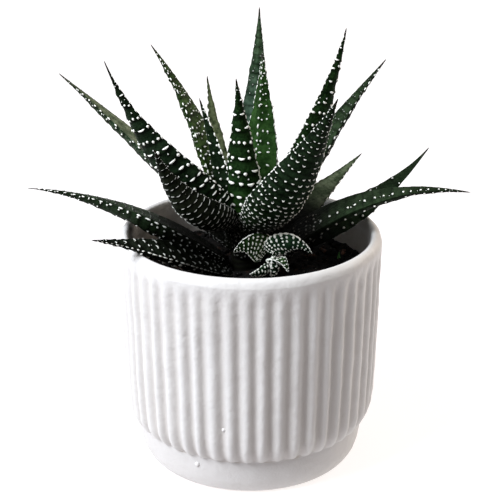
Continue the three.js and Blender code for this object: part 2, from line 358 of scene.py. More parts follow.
class Shader(Nodes):
    """One material in the making, with the Principled shader at its end."""

    def __init__(self, name: str) -> None:
        """Starts a material with a bare Principled shader.

        Args:
            name: of the material.
        """
        self.material = bpy.data.materials.new(name)
        self.material.use_nodes = True
        super().__init__(self.material.node_tree)
        self.surface = self.tree.nodes["Principled BSDF"]
        self.place = self.node("ShaderNodeTexCoord", output="Object")

    def mark(self, name: str) -> Signal:
        """Reads a number that the mesh keeps at its points."""
        return self.node("ShaderNodeAttribute", {"attribute_name": name}, output="Fac")

    def noise(self, scale: float, detail: float, stretch: Point | None = None) -> Signal:
        """Adds a noise texture on the object's own coordinates.

        Args:
            scale: repeats a metre.
            detail: how many finer layers it has.
            stretch: factors on x, y and z, where the grain isn't even.

        Returns:
            Its value, round about 0.5.
        """
        place = self.place
        if stretch:
            place = self.node("ShaderNodeVectorMath", {"operation": "MULTIPLY"}, {0: place, 1: stretch})
        return self.node("ShaderNodeTexNoise", {"noise_dimensions": "3D"},
                         {"Vector": place, "Scale": scale, "Detail": detail})

    def bump(self, height: Signal, distance: float) -> Signal:
        """Turns a height into a surface direction.

        Args:
            height: the relief.
            distance: what a height of 1 stands for, in metres.

        Returns:
            The normal.
        """
        return self.node("ShaderNodeBump", None, {"Height": height, "Distance": distance, "Strength": 1.0},
                         output="Normal")

    def done(self, **sockets: object) -> bpy.types.Material:
        """Feeds the Principled shader.

        Args:
            sockets: a value or Signal for each socket, with _ for the blanks in its name.

        Returns:
            The material.
        """
        for name, value in sockets.items():
            self.feed(self.surface.inputs[name.replace("_", " ")], value)
        return self.material


@dataclass(frozen=True)
class Glaze:
    """Satin white glaze: uneven and specked, with painted shade that greys the grooves, the foot and the
    inside.
    """

    body: Colour = paint("#d5d3d1")
    # Painted shade: the grey the glaze takes down in the grooves, where the ribs shade them
    groove: Colour = paint("#bcb7b3")
    # Colour of the few dark specks in the glaze, and painted shade on the inside wall, darker towards the
    # soil
    specks_and_inside_shade: Colour = paint("#b5aea6")
    # Painted shade: the foot greyer than the rest of the glaze
    foot_shade: Colour = paint("#c3c0be")
    roughness: float = 0.34

    def material(self) -> bpy.types.Material:
        """Builds the glaze.

        Returns:
            The material.
        """
        shader = Shader("white_glaze")
        cloud = shader.noise(26, 3)
        speck = shader.noise(420, 2)
        # Painted shade: greyer the deeper a point lies in its groove
        tone = shader.blend(shader.mark("groove"), self.body, self.groove)
        tone = shader.blend(shader.eased(cloud, 0.35, 0.75, 0.0, 0.35), tone, self.groove)
        tone = shader.blend(shader.eased(speck, 0.70, 0.78, 0.0, 0.10), tone, self.specks_and_inside_shade)
        # Painted shade: the inside wall darker the deeper it lies
        tone = shader.blend(shader.mark("inside"), tone, self.specks_and_inside_shade)
        # Painted shade: greyer glaze on the foot
        tone = shader.blend(shader.mark("foot"), tone, self.foot_shade)
        peel = shader.noise(700, 2) + 2.2 * shader.noise(110, 2)
        roughness = self.roughness + 0.16 * shader.noise(60, 3)
        return shader.done(Base_Color=tone, Roughness=roughness, Specular_IOR_Level=0.5,
                           Normal=shader.bump(peel, 0.00016))


@dataclass(frozen=True)
class LeafSkin:
    """Skin of a leaf and of its white tubercles.

    It has one green outside and one inside, is fresher at the root as far as root_reach and dry at the
    tip. far, mottled and pebbled are factors on the green: towards the tip, in broad patches and in small
    ones. The furrows behind the rows, the feet of the tubercles, the sheath and the low leaf bases are
    nearly black: painted shade, where they stand in the dark.
    """

    name: str
    outer: Colour
    inner: Colour
    root: Colour
    # Painted shade in the furrows and round the tubercles' feet
    furrow: Colour = paint("#030402")
    # Painted shade on the sheath and low among the feet of the leaves
    sheath: Colour = paint("#050603")
    tip: Colour = paint("#1c1612")
    white: Colour = paint("#f7f8f0")
    far: Colour = (0.52, 0.56, 0.46)
    mottled: Colour = (0.36, 0.44, 0.36)
    pebbled: Colour = (0.42, 0.48, 0.42)
    root_reach: float = 0.34
    roughness: float = 0.46

    def material(self) -> bpy.types.Material:
        """Builds the skin.

        Returns:
            The material.
        """
        shader = Shader(self.name)
        along = shader.mark("along")
        mottle = shader.noise(210, 3)
        pebble = shader.noise(760, 2)
        fleck = shader.noise(1500, 2)
        tone = shader.blend(shader.mark("inner"), self.outer, self.inner)
        fresh = shader.eased(along, self.root_reach, 0.0) * shader.eased(mottle, 0.30, 0.62, 0.25, 1.0)
        tone = shader.blend(fresh, tone, self.root)
        tone = shader.blend(shader.eased(along, 0.50, 0.90, 0.0, 0.8), tone, self.far, "MULTIPLY")
        tone = shader.blend(shader.eased(mottle, 0.43, 0.58, 0.0, 0.85), tone, self.mottled, "MULTIPLY")
        tone = shader.blend(shader.eased(pebble, 0.50, 0.64, 0.0, 0.55), tone, self.pebbled, "MULTIPLY")
        tone = shader.blend(shader.eased(fleck, 0.46, 0.72, 0.0, 0.38), tone, self.inner)
        # Painted shade: nearly black on the sheath and low among the leaves' feet
        tone = shader.blend(shader.mark("sheath"), tone, self.sheath)
        # Painted shade: nearly black in the furrows and round the tubercles' feet
        tone = shader.blend(shader.mark("shade") * 0.92, tone, self.furrow)
        tone = shader.blend(shader.eased(along, 0.93, 0.985), tone, self.tip)
        tone = shader.blend(shader.mark("white"), tone, self.white)
        grain = shader.noise(2600, 2) - 3.0 * pebble
        roughness = self.roughness + 0.20 * mottle
        return shader.done(Base_Color=tone, Roughness=roughness, Specular_IOR_Level=0.03,
                           Normal=shader.bump(grain, 0.00012))


class Tone(Enum):
    """The greens that the leaves of one plant show."""

    DEEP = LeafSkin("leaf_deep_green", paint("#172617"), paint("#263920"), paint("#1b3316"))
    OLIVE = LeafSkin("leaf_olive", paint("#283c19"), paint("#496134"), paint("#5c7b2b"), root_reach=0.55)
    MOSS = LeafSkin("leaf_moss_green", paint("#1b2918"), paint("#2b3a26"), paint("#2f4b1b"))
    GREY = LeafSkin("leaf_grey_green", paint("#203421"), paint("#78816a"), paint("#23391e"))
    BLUE = LeafSkin("leaf_blue_green", paint("#26372b"), paint("#3a4d3f"), paint("#24431b"),
                    far=(1.25, 1.2, 0.8))
    GRASS = LeafSkin("leaf_grass_green", paint("#1b3317"), paint("#2d4a22"), paint("#2d5517"))
    # Painted shade: a darker copy of the green for leaves that lie in the shade of the others
    SHADE = LeafSkin("leaf_green_painted_shade", paint("#1d2218"), paint("#1e241b"), paint("#1d2018"))
    SMOOTH = LeafSkin("leaf_smooth_olive", paint("#4a5a41"), paint("#747f66"), paint("#3d4d2b"))
    PALE = LeafSkin("leaf_pale_olive", paint("#5c6d4f"), paint("#8d9b77"), paint("#5c6e43"))
    PUP = LeafSkin("leaf_young_green", paint("#23402b"), paint("#3d5e31"), paint("#294d2b"), root_reach=0.2)


@dataclass(frozen=True)
class TubercleRule:
    """How the tubercles on one face of a leaf are laid out, in millimetres.

    Rows lie pitch apart in the middle of the leaf, and the tubercles of a row, of the radius and height
    given, spacing apart. bars is the share that is drawn out across the leaf, stretch how far at least
    and at most, and curve how much those bend. gaps is the share left out, ridge the height of the step
    under a row and furrow how dark the painted shade is in the furrow behind that step. whiteness runs to
    1. rim is the distance between the tubercles that edge the leaf and seam between those along the
    middle of its inner face, or 0 for none. end is the place of the last row. strays is the share of
    tubercles with a small one somewhere between their row and the next, and stagger how far they stray
    from the line of their row, as a share of pitch. In the outer two thirds of the leaf a row has one in
    each lane, where there are lanes, from -1 to 1 across the face. shrink is how much smaller they are at
    the tip, and barred the place beyond which most are round.
    """

    pitch: float
    spacing: float
    radius: float
    height: float
    bars: float
    stretch: tuple[float, float]
    gaps: float
    ridge: float
    furrow: float
    whiteness: float = 1.0
    curve: float = 0.1
    rim: float = 0.0
    end: float = 0.97
    strays: float = 0.0
    stagger: float = 0.08
    lanes: tuple[float, ...] = ()
    seam: float = 0.0
    shrink: float = 0.58
    barred: float = 1.0


class Pattern(Enum):
    """The layouts of tubercles that the leaves show."""

    LARGE = TubercleRule(4.7, 2.3, 0.72, 0.52, 0.5, (1.3, 2.2), 0.08, 0.30, 0.75, curve=0.3, rim=2.0,
                         end=0.88, strays=0.35)
    BOLD = TubercleRule(4.4, 1.9, 0.60, 0.50, 0.65, (1.5, 3.0), 0.05, 0.34, 0.95, curve=0.2, rim=3.0,
                        end=0.86, strays=0.25, barred=0.56)
    PAIRS = TubercleRule(4.1, 2.0, 0.52, 0.42, 0.50, (1.4, 2.4), 0.10, 0.26, 0.6, curve=0.3, rim=1.9,
                         end=0.95, strays=0.3, stagger=0.12, shrink=0.3)
    FINE = TubercleRule(3.4, 1.8, 0.45, 0.38, 0.35, (1.3, 2.2), 0.10, 0.26, 0.7, curve=0.3, rim=2.6,
                        end=0.84, strays=0.5, stagger=0.14)
    BANDS = TubercleRule(2.6, 0.7, 0.19, 0.28, 1.0, (4.0, 6.5), 0.04, 0.36, 1.0, 0.55, 0.12, rim=1.2,
                         strays=0.1, stagger=0.03)
    DENSE = TubercleRule(2.6, 1.6, 0.31, 0.32, 0.90, (1.5, 2.7), 0.14, 0.36, 1.0, 0.86, 0.7, rim=1.8,
                         end=0.92, strays=0.2)
    SPARSE = TubercleRule(3.5, 2.4, 0.38, 0.34, 0.15, (1.3, 1.8), 0.18, 0.22, 0.6, 0.9, rim=3.4,
                          strays=0.4, stagger=0.16, lanes=(-0.72, 0.72), shrink=0.4)
    LINED = TubercleRule(3.3, 2.6, 0.44, 0.36, 0.25, (1.3, 1.8), 0.10, 0.24, 0.7, 0.92, rim=3.0,
                         end=0.93, strays=0.2, stagger=0.12, lanes=(-0.84, -0.40, 0.40, 0.84), shrink=0.6)
    SCATTERED = TubercleRule(3.4, 2.6, 0.52, 0.38, 0.60, (1.3, 1.8), 0.08, 0.22, 0.6, 0.97, 0.3,
                             end=0.96, strays=0.2, stagger=0.10, lanes=(-0.70, 0.70), shrink=0.4)
    SINGLE = TubercleRule(3.2, 2.4, 0.50, 0.36, 0.60, (1.2, 1.7), 0.05, 0.20, 0.6, 0.97, 0.3,
                          strays=0.5, lanes=(-0.38,), shrink=0.35)
    LONE = TubercleRule(4.0, 3.6, 0.50, 0.38, 0.30, (1.3, 2.0), 0.15, 0.18, 0.5, 0.95, 0.3,
                        end=0.74, strays=0.1, stagger=0.14, lanes=(-0.75, 0.75))
    RIDGED = TubercleRule(4.0, 2.0, 0.42, 0.34, 0.45, (1.4, 1.9), 0.05, 0.28, 0.9, 0.90,
                          strays=0.5, stagger=0.12, lanes=(-0.56, -0.24), seam=2.4, shrink=0.45)
    RINGS = TubercleRule(4.0, 2.6, 0.44, 0.36, 0.85, (1.7, 3.0), 0.10, 0.34, 1.0, 0.78, 0.8,
                         strays=0.3, stagger=0.12)
    SPECKS = TubercleRule(3.4, 1.9, 0.32, 0.30, 0.20, (1.4, 2.0), 0.45, 0.28, 0.7, 0.45,
                          strays=0.4, stagger=0.2)
    FAINT = TubercleRule(3.0, 2.3, 0.34, 0.22, 0.20, (1.4, 2.0), 0.25, 0.20, 0.7, 0.22, strays=0.4)
    BARE = TubercleRule(3.0, 50.0, 0.2, 0.15, 0.0, (1.4, 2.0), 1.0, 0.08, 0.3, 0.4)
    PUP = TubercleRule(1.55, 1.3, 0.42, 0.32, 0.80, (1.2, 2.0), 0.03, 0.10, 0.8, curve=0.2, rim=1.5,
                       stagger=0.06)


@dataclass(frozen=True)
class LeafShape:
    """One leaf, as the frame has it: angles in degrees, sizes in millimetres.

    turn and rise give its heading at the root, rise_tip its rise at the tip, swing how far it turns on
    the way, roll how far it is turned round its own line. Its root lies reach away from the middle line
    of its plant, at height, and its sheath runs on down from there. outer and inner are the layouts of
    the tubercles on its two faces, slender is the power of its taper and fold the height of a ridge along
    the middle of its inner face.
    """

    name: str
    turn: float
    rise: float
    rise_tip: float
    swing: float
    length: float
    width: float
    thick: float
    roll: float
    reach: float
    height: float
    sheath: float
    tone: Tone
    outer: Pattern
    inner: Pattern
    slender: float = 1.45
    fold: float = 0.0


PUP_LEAVES = [
    LeafShape("pup_leaf_front", 288, 72, 82, -5, 11, 6, 2.2, 60, 2.0, 71.4, 0,
              Tone.PUP, Pattern.PUP, Pattern.PUP),
    LeafShape("pup_leaf_right", 342, 69, -61, 0, 18.5, 10, 2.6, -65, 1.1, 78.8, 0,
              Tone.PUP, Pattern.PUP, Pattern.PUP),
    LeafShape("pup_leaf_left", 223, 64, -34, -15, 17.5, 10.5, 2.6, -84, 1.3, 78.3, 0,
              Tone.PUP, Pattern.PUP, Pattern.PUP),
    LeafShape("pup_leaf_low_right", 306, 56, -67, -3, 12.5, 6.2, 2.2, -6, 1.2, 76, 0,
              Tone.PUP, Pattern.PUP, Pattern.PUP),
    LeafShape("pup_leaf_low_left", 243, -3, 11, -5, 14, 5, 2.2, 56, 1.5, 75, 0,
              Tone.PUP, Pattern.PUP, Pattern.PUP),
]
LEAVES = [
    LeafShape("leaf_centre_front", 264, 88, 73, -14, 57, 11.8, 5.0, 3, 3, 88, 12,
              Tone.GRASS, Pattern.LARGE, Pattern.FINE),
    LeafShape("leaf_centre_left", 192, 78, 70, 4, 47, 10, 4.0, 13, 3, 90, 10,
              Tone.DEEP, Pattern.PAIRS, Pattern.SCATTERED),
    LeafShape("leaf_tall_front", 58, 69, 96, 0, 62, 15, 5.0, 3, 3.5, 87, 8,
              Tone.GRASS, Pattern.PAIRS, Pattern.RIDGED, fold=2.6),
    LeafShape("leaf_tall", 78, 64, 88, -3, 79, 14, 5.0, 0, 5, 85, 6,
              Tone.BLUE, Pattern.FINE, Pattern.SPECKS, fold=1.2),
    LeafShape("leaf_back_left", 149, 77, 46, 2, 72, 14.5, 5.0, 10, 5, 86, 8,
              Tone.OLIVE, Pattern.FINE, Pattern.FINE),
    LeafShape("leaf_back_slim", 119, 57, 75, 0, 57, 9, 4.5, 10, 5, 84, 4,
              Tone.PALE, Pattern.FINE, Pattern.BARE),
    LeafShape("leaf_right_up", 344, 58, 77.5, 2, 80, 15.5, 5.0, -31, 5, 87, 10,
              Tone.GRASS, Pattern.PAIRS, Pattern.PAIRS),
    LeafShape("leaf_left_broad", 202, 35, 70, -3, 73.5, 16.5, 5.5, 39, 5, 94.2, 15,
              Tone.DEEP, Pattern.BOLD, Pattern.BOLD, slender=1.9),
    LeafShape("leaf_right_broad", 308, 45, 59, -2, 72, 19, 6.0, -29, 5, 88, 12,
              Tone.DEEP, Pattern.DENSE, Pattern.FINE),
    LeafShape("leaf_right_behind", 19, 58, 47.2, -2, 78, 15, 5.0, 7, 6, 82, 6,
              Tone.MOSS, Pattern.SPARSE, Pattern.FAINT),
    LeafShape("leaf_front_left", 223, 17, 71, 2, 50, 13, 5.0, 49, 6, 91, 14,
              Tone.SHADE, Pattern.BANDS, Pattern.BANDS),
    LeafShape("leaf_left_up", 162, 41.5, 35, 2, 82, 18, 5.0, 11, 6, 87, 9,
              Tone.GREY, Pattern.SPARSE, Pattern.BARE),
    LeafShape("leaf_back_up", 92, 40, 34, 0, 58, 14, 4.5, 0, 5, 81, 5,
              Tone.GREY, Pattern.FINE, Pattern.FAINT),
    LeafShape("leaf_right_smooth", 36, 26, 28, 2, 56, 15, 4.5, 6, 6, 78, 0,
              Tone.SMOOTH, Pattern.FINE, Pattern.BARE),
    LeafShape("leaf_right_curved", 14, 3, 50, 0, 72, 13.5, 4.5, 33, 7, 80, 0,
              Tone.MOSS, Pattern.LONE, Pattern.LONE),
    LeafShape("leaf_back_left_low", 131, 26, 18, 0, 58, 14, 4.5, 0, 6, 79, 0,
              Tone.DEEP, Pattern.FINE, Pattern.FAINT),
    LeafShape("leaf_right_long", 358, 52, -10, 0, 83, 17, 4.7, 5, 7, 71.5, 0,
              Tone.MOSS, Pattern.SCATTERED, Pattern.SINGLE),
    LeafShape("leaf_left_long", 177, 36.5, 1.5, 0, 77, 20.5, 7.0, 14, 7, 74.6, 0,
              Tone.MOSS, Pattern.LINED, Pattern.FAINT, slender=1.85),
    LeafShape("leaf_back_low", 104, 26, 19, 0, 58, 14, 4.5, 0, 6, 76, 0,
              Tone.DEEP, Pattern.FINE, Pattern.FAINT),
    LeafShape("leaf_back_right_low", 66, 27, 20, 0, 50, 13, 4.5, 0, 6, 77, 0,
              Tone.DEEP, Pattern.FINE, Pattern.FAINT),
    LeafShape("leaf_left_low", 215, 30.5, 15, 0, 61, 15, 5.2, -17, 6, 71.4, 0,
              Tone.SHADE, Pattern.LARGE, Pattern.RINGS),
]


class Blade:
    """The middle line of a leaf and the surface round it, on which every point has a place and an angle.

    The place runs from 0 at the root to 1 at the tip and is negative on the sheath. The angle runs round
    the leaf: from 0 to half a turn over the inner face and from there to a full turn over the outer one.
    """

    STEPS = 80            # of the middle line
    SHEATH_STEPS = 12     # of its part on the sheath
    UPRIGHT = 88          # rise of the sheath, in degrees
    SHEATH_BEND = 1.4     # how soon the sheath comes upright
    ROOT_REACH = 0.25     # share of the leaf that narrows towards the root
    FULLER = 0.35         # how much less slender the tip is in thickness than in width
    NEEDLE = 0.24         # radius of the dry tip, in millimetres
    NEEDLE_END = 1.2      # length of its round end, in millimetres
    CREST = (0.14, 0.36)  # how steeply a step rises before its crest and falls beyond it
    FURROW = (0.20, 0.10)  # how far before the crest the furrow lies, and how wide it is
    SLANT = 0.12          # how far the rows slant across the leaf, at most
    SWELL = 0.16          # height of the gentle swellings, in millimetres
    SLOPE = 1e-3          # step over which slopes are taken

    def __init__(self, shape: LeafShape, origin: tuple[float, float], seed: int) -> None:
        """Lays the middle line.

        Args:
            shape: of the leaf.
            origin: x and y of the middle line of its plant.
            seed: of its unevenness.
        """
        self.shape = shape
        self.draw = np.random.default_rng(seed)
        self.swells = Waves(seed, 9.0)
        self.lumps = Waves(seed + 500, 3.0)
        places, frames = self._frames()
        self.places = places
        root = np.array([origin[0] + shape.reach * math.cos(math.radians(shape.turn)),
                         origin[1] + shape.reach * math.sin(math.radians(shape.turn)), shape.height])
        along = frames[0]
        steps = np.diff(places)[:, None] * shape.length
        walked = np.vstack([np.zeros(3), np.cumsum(along[:-1] * steps, axis=0)])
        start = int(np.argmin(np.abs(places)))
        self.line = walked - walked[start] + root
        _, self.up, self.side = frames
        self.slant = self.draw.uniform(-self.SLANT, self.SLANT)
        self.outer_rows = self._rows(shape.outer.value)
        self.inner_rows = self._rows(shape.inner.value)

    def _frames(self) -> tuple[Array, tuple[Array, Array, Array]]:
        """Works out the directions along the middle line.

        Returns:
            The places, and at each the directions along, up from the inner face and sideways.
        """
        shape = self.shape
        places = np.linspace(0, 1, self.STEPS + 1)
        if shape.sheath:
            below = np.linspace(-shape.sheath / shape.length, 0, self.SHEATH_STEPS, endpoint=False)
            places = np.concatenate([below, places])
        blade = np.maximum(places, 0)
        sheath = np.maximum(-places, 0) * shape.length / (shape.sheath or 1)
        rise = shape.rise + (shape.rise_tip - shape.rise) * blade
        rise = np.radians(rise + (self.UPRIGHT - rise) * np.minimum(1, sheath * self.SHEATH_BEND))
        turn = np.radians(shape.turn + shape.swing * blade)
        along = np.stack([np.cos(rise) * np.cos(turn), np.cos(rise) * np.sin(turn), np.sin(rise)], axis=-1)
        level = np.stack([-np.sin(rise) * np.cos(turn), -np.sin(rise) * np.sin(turn), np.cos(rise)], axis=-1)
        roll = math.radians(shape.roll)
        up = level * math.cos(roll) + np.cross(along, level) * math.sin(roll)
        return places, (along, up, np.cross(along, up))

    @staticmethod
    def widening(place: Array) -> Array:
        """Gives how far apart rows lie: close on the sheath, wide in the middle, closer at the tip."""
        return 0.5 + 0.6 * ease(place, -0.05, 0.40) - 0.35 * ease(place, 0.6, 1.0)

    def _rows(self, rule: TubercleRule) -> Array:
        """Spaces rows of tubercles along the leaf.

        Args:
            rule: their layout.

        Returns:
            Their places in millimetres from the root, negative on the sheath.
        """
        length = self.shape.length
        rows = [self.places[0] * length + 1.0]
        while rows[-1] < rule.end * length:
            step = rule.pitch * float(self.widening(rows[-1] / length))
            rows.append(rows[-1] + step * self.draw.uniform(0.9, 1.1))
        return np.array(rows)

    def _tapered(self, place: Array, full: float, root_loss: float, shoulder: float, power: float) -> Array:
        """Narrows a size towards the root and tapers it to the needle at the tip.

        Args:
            place: along the leaf.
            full: the size in the middle.
            root_loss: share that it loses at the root.
            shoulder: how far from the tip the taper begins.
            power: of the taper.

        Returns:
            The size at each place.
        """
        near_root = np.clip((self.ROOT_REACH - place) / self.ROOT_REACH, 0, 1)
        from_tip = 1 - np.maximum(place, 0)
        taper = np.sin(math.pi / 2 * np.minimum(1, from_tip / shoulder)) ** power
        rounded = np.sqrt(np.clip(from_tip * self.shape.length / self.NEEDLE_END, 0, 1))
        needle = self.NEEDLE * rounded * ease(from_tip, 0.35, 0.05)
        return full * (1 - root_loss * near_root ** 2) * taper + needle

    def half_width(self, place: Array) -> Array:
        """Gives half the width at each place."""
        return self._tapered(place, self.shape.width / 2, 0.45, 0.78, self.shape.slender)

    def thickness(self, place: Array) -> Array:
        """Gives the thickness at each place."""
        return self._tapered(place, self.shape.thick, 0.35, 0.85, self.shape.slender - self.FULLER)

    def relief(self, place: Array, angle: Array, outer: bool) -> tuple[Array, Array]:
        """Tells how a point lies to the rows of one face.

        Args:
            place: along the leaf.
            angle: round the leaf.
            outer: whether the rows are those of the outer face.

        Returns:
            How near it is to the crest of a step, and how near to the furrow on its root side, from 0 to 1.
        """
        rule, rows = ((self.shape.outer.value, self.outer_rows) if outer
                      else (self.shape.inner.value, self.inner_rows))
        walked = place * self.shape.length - self.slant * np.cos(angle) * self.half_width(place)
        beyond = (walked[..., None] - rows) / (self.widening(place) * rule.pitch)[..., None]
        crest = np.exp(-(beyond / np.where(beyond < 0, *self.CREST)) ** 2).max(axis=-1)
        before, width = self.FURROW
        furrow = np.exp(-((beyond + before) / width) ** 2).max(axis=-1)
        fade = ease(place, 0.99, 0.85)
        return crest * fade, furrow * fade

    def surface(self, place: Array, angle: Array) -> Array:
        """Finds the points of the surface.

        Args:
            place: along the leaf.
            angle: round the leaf, of the same shape.

        Returns:
            The points, with x, y and z last.
        """
        line, side, up = (np.stack([np.interp(place, self.places, part[:, k]) for k in range(3)], axis=-1)
                          for part in (self.line, self.side, self.up))
        across, out = np.cos(angle), np.sin(angle)
        half, thick = self.half_width(place), self.thickness(place)
        from_tip = 1 - np.maximum(place, 0)
        # The inner face is hollow at the root and full at the tip, where the outer one is sharper
        crown = thick * (0.10 - 0.18 * from_tip) * (1 - across ** 2)
        keel = -thick * np.abs(out) ** (1 + 0.35 * (1 - from_tip))
        flat = line + side * (across * half)[..., None]
        lump = self.lumps.at(flat)
        ridges = [rule.value.ridge * self.relief(place, angle, outer)[0] * (0.8 + 0.3 * lump)
                  for rule, outer in ((self.shape.outer, True), (self.shape.inner, False))]
        inner = ease(out, -0.2, 0.2)
        swell = (self.SWELL * self.swells.at(flat) * np.minimum(1, from_tip * 4) * (1 - 0.5 * inner)
                 + ridges[0] * (1 - inner) + ridges[1] * inner)
        sideways = across * half + swell * across
        folded = ease(place, 0, 0.25) * np.minimum(1, from_tip * 2.5)
        fold = self.shape.fold * (1 - np.abs(across)) ** 1.3 * folded
        upward = np.where(out < 0, keel, crown + fold) + swell * out
        return line + side * sideways[..., None] + up * upward[..., None]

    def slopes(self, place: Array, angle: Array) -> tuple[Array, Array]:
        """Finds how the surface runs at each point.

        Args:
            place: along the leaf.
            angle: round the leaf.

        Returns:
            The outward direction, and the millimetres walked round the leaf per unit of angle.
        """
        step = self.SLOPE
        round_leaf = (self.surface(place, angle + step) - self.surface(place, angle - step)) / (2 * step)
        along = self.surface(place + step, angle) - self.surface(place - step, angle)
        outward = np.cross(along, round_leaf)
        outward /= np.linalg.norm(outward, axis=-1, keepdims=True) + 1e-12
        return outward, np.linalg.norm(round_leaf, axis=-1)


@dataclass
class Dots:
    """The tubercles of one leaf, as rows of values that grow together.

    place and angle say where each sits, across and along are its half sizes and height its height in
    millimetres, tilt turns it, curve bends it and white is how white it is.
    """

    rows: list[tuple[float, ...]]

    def put(self, place: float, angle: float, across: float, along: float, height: float,
            tilt: float, curve: float, white: float) -> None:
        """Adds one tubercle."""
        self.rows.append((place, angle, across, along, height, tilt, curve, white))

    def columns(self) -> list[Array]:
        """Gives the values as columns, in the order in which put takes them."""
        return list(np.array(self.rows, float).T[:, :, None, None])


@dataclass
class Leaf:
    """One leaf: its skin and its tubercles, made as one piece that stands for its node.

    origin is x and y of the middle line of its plant. stations is the number of rings on the blade, with
    inner_columns and outer_columns points over their two faces, and dot_columns the number of points in
    each ring of a tubercle. slot is pup_leaf for the pup's leaves, whose painted shade lies only on the
    sheath.
    """

    SHEATH_STATIONS = 22       # rings on the sheath
    CROWDING = 0.94            # power that sets the rings closer together towards the tip
    LANES_FROM = 0.33          # place from which rows keep to their lanes
    LANE_STRAY = 0.04          # how far tubercles stray from their lanes
    ROW_REACH = 0.46           # how far a row runs to either side, as a share of the face's width
    FATTEST = 0.28             # half width of a tubercle, as a share of half the leaf's width, at most
    WIDTHS = (0.85, 1.15)      # of tubercles, as shares of the size of those in their row
    DEPTHS = (0.8, 1.05)       # the same along the leaf
    SPACES = (0.6, 1.5)        # between them, as shares of the even space
    TILT = 0.22                # how far they are turned on the leaf, in radians
    CURVES = (0.3, 1.5)        # how far they bend, as shares of the curve of their rule
    STRAY_SIZES = (0.35, 0.6)  # of the small ones, as shares of the size of those in the row
    STRAY_PLACES = (0.3, 0.7)  # how far those stand on the way to the next row
    LINE_RADIUS = 0.46         # half width of a tubercle in a line along the leaf, at most
    LINE_LENGTHS = (1.1, 2.4)  # how far those are drawn out
    LINE_SPACES = (0.8, 1.2)   # between them, as shares of the even space
    LINE_END = 0.96            # place where such a line ends
    LINE_GAPS = 0.10           # share of such a line that is left out
    EDGE = 0.10                # how far round onto the outer face the edge's line lies, in radians
    HALO = 0.45                # how far the painted shade round a tubercle's foot reaches, in millimetres
    HALO_SHADE = 0.85          # how dark it is there
    DOME = (1.0, 0.88, 0.58)   # widths of a dome's rings, from its foot up
    DEEP = 0.35                # how far a dome's foot reaches into the leaf, in millimetres

    shape: LeafShape
    origin: tuple[float, float]
    seed: int
    stations: int = 136
    inner_columns: int = 16
    outer_columns: int = 32
    dot_columns: int = 8
    slot: str = "leaf"

    def build(self, finish: bpy.types.Material) -> bpy.types.Object:
        """Builds the leaf.

        Args:
            finish: its skin.

        Returns:
            The piece.
        """
        self.blade = Blade(self.shape, self.origin, self.seed)
        dots = self._dots()
        form = Form()
        self._add_skin(form, dots)
        self._add_tubercles(form, dots)
        piece = form.piece(f"{self.shape.name}_grown", finish)
        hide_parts(self.shape.name)
        return piece

    def _painted_low_shade(self, place: Array, points: Array) -> Array:
        """Gives the painted shade of points that lie in the dark: on the sheath, or low among the feet of the
        other leaves.

        Args:
            place: along the leaf.
            points: on its surface.

        Returns:
            From 0 to 1, one number a point.
        """
        # Painted shade: dark on the sheath and, for the main plant, low near its middle
        covered = ease(place, 0.07, -0.04)
        if self.slot == "pup_leaf":
            return covered
        from_middle = np.hypot(points[..., 0] - self.origin[0], points[..., 1] - self.origin[1])
        low = ease(points[..., 2], 99, 86) * ease(from_middle, 44, 26)
        return np.maximum(covered, low)

    def _add_skin(self, form: Form, dots: Dots) -> None:
        """Adds the closed skin of the leaf, from its foot to its tip.

        Args:
            form: what it is added to.
            dots: the tubercles, round whose feet it gets painted shade.
        """
        first = self.blade.places[0]
        places = np.linspace(0, 1, self.stations, endpoint=False) ** self.CROWDING
        if first < 0:
            below = np.linspace(first, 0, self.SHEATH_STATIONS, endpoint=False)
            places = np.concatenate([below, places])
        angles = np.concatenate([np.linspace(0, math.pi, self.inner_columns, endpoint=False),
                                 np.linspace(math.pi, FULL_TURN, self.outer_columns, endpoint=False)])
        place, angle = np.meshgrid(places, angles, indexing="ij")
        rings = self.blade.surface(place, angle)
        inner = ease(np.sin(angle), -0.12, 0.12)
        # Painted shade: nearly black in the furrows behind the rows and round the feet of the tubercles
        outer_furrow = self.shape.outer.value.furrow * self.blade.relief(place, angle, True)[1]
        inner_furrow = self.shape.inner.value.furrow * self.blade.relief(place, angle, False)[1]
        furrow = outer_furrow * (1 - inner) + inner_furrow * inner
        shade = np.maximum(furrow, self._halo(rings.reshape(-1, 3), dots).reshape(place.shape))
        form.add(rings[None], np.array([[rings[0].mean(axis=0), self.blade.line[-1]]]),
                 along=np.append(np.maximum(place, 0), [0, 1])[None],
                 inner=np.append(inner, [1, 0])[None],
                 shade=np.append(shade, [0, 0])[None],
                 sheath=np.append(self._painted_low_shade(place, rings), [1, 0])[None],
                 white=np.zeros((1, place.size + 2)))

    def _halo(self, points: Array, dots: Dots) -> Array:
        """Gives the painted shade round the foot of each tubercle, on its root side above all.

        Args:
            points: of the skin.
            dots: the tubercles.

        Returns:
            How dark it is there, from 0 to 1, one number a point.
        """
        place, angle, across, along = (column[:, 0, 0] for column in dots.columns()[:4])
        centres = self.blade.surface(place - self.HALO / self.shape.length, angle)
        apart = (points ** 2).sum(axis=1)[:, None] + (centres ** 2).sum(axis=1) - 2 * points @ centres.T
        reach = 0.35 * across + 0.65 * along + self.HALO
        return self.HALO_SHADE * np.exp(-np.maximum(apart, 0) / reach ** 2).max(axis=1)

    @staticmethod
    def _growth(rule: TubercleRule, place: float) -> float:
        """Gives the size of a tubercle at a place: small on the sheath and small at the tip."""
        near_tip = 1 - min(1.0, (1 - place) / 0.55)
        return (1 - rule.shrink * near_tip) * (0.55 + 0.45 * float(ease(place, -0.02, 0.30)))

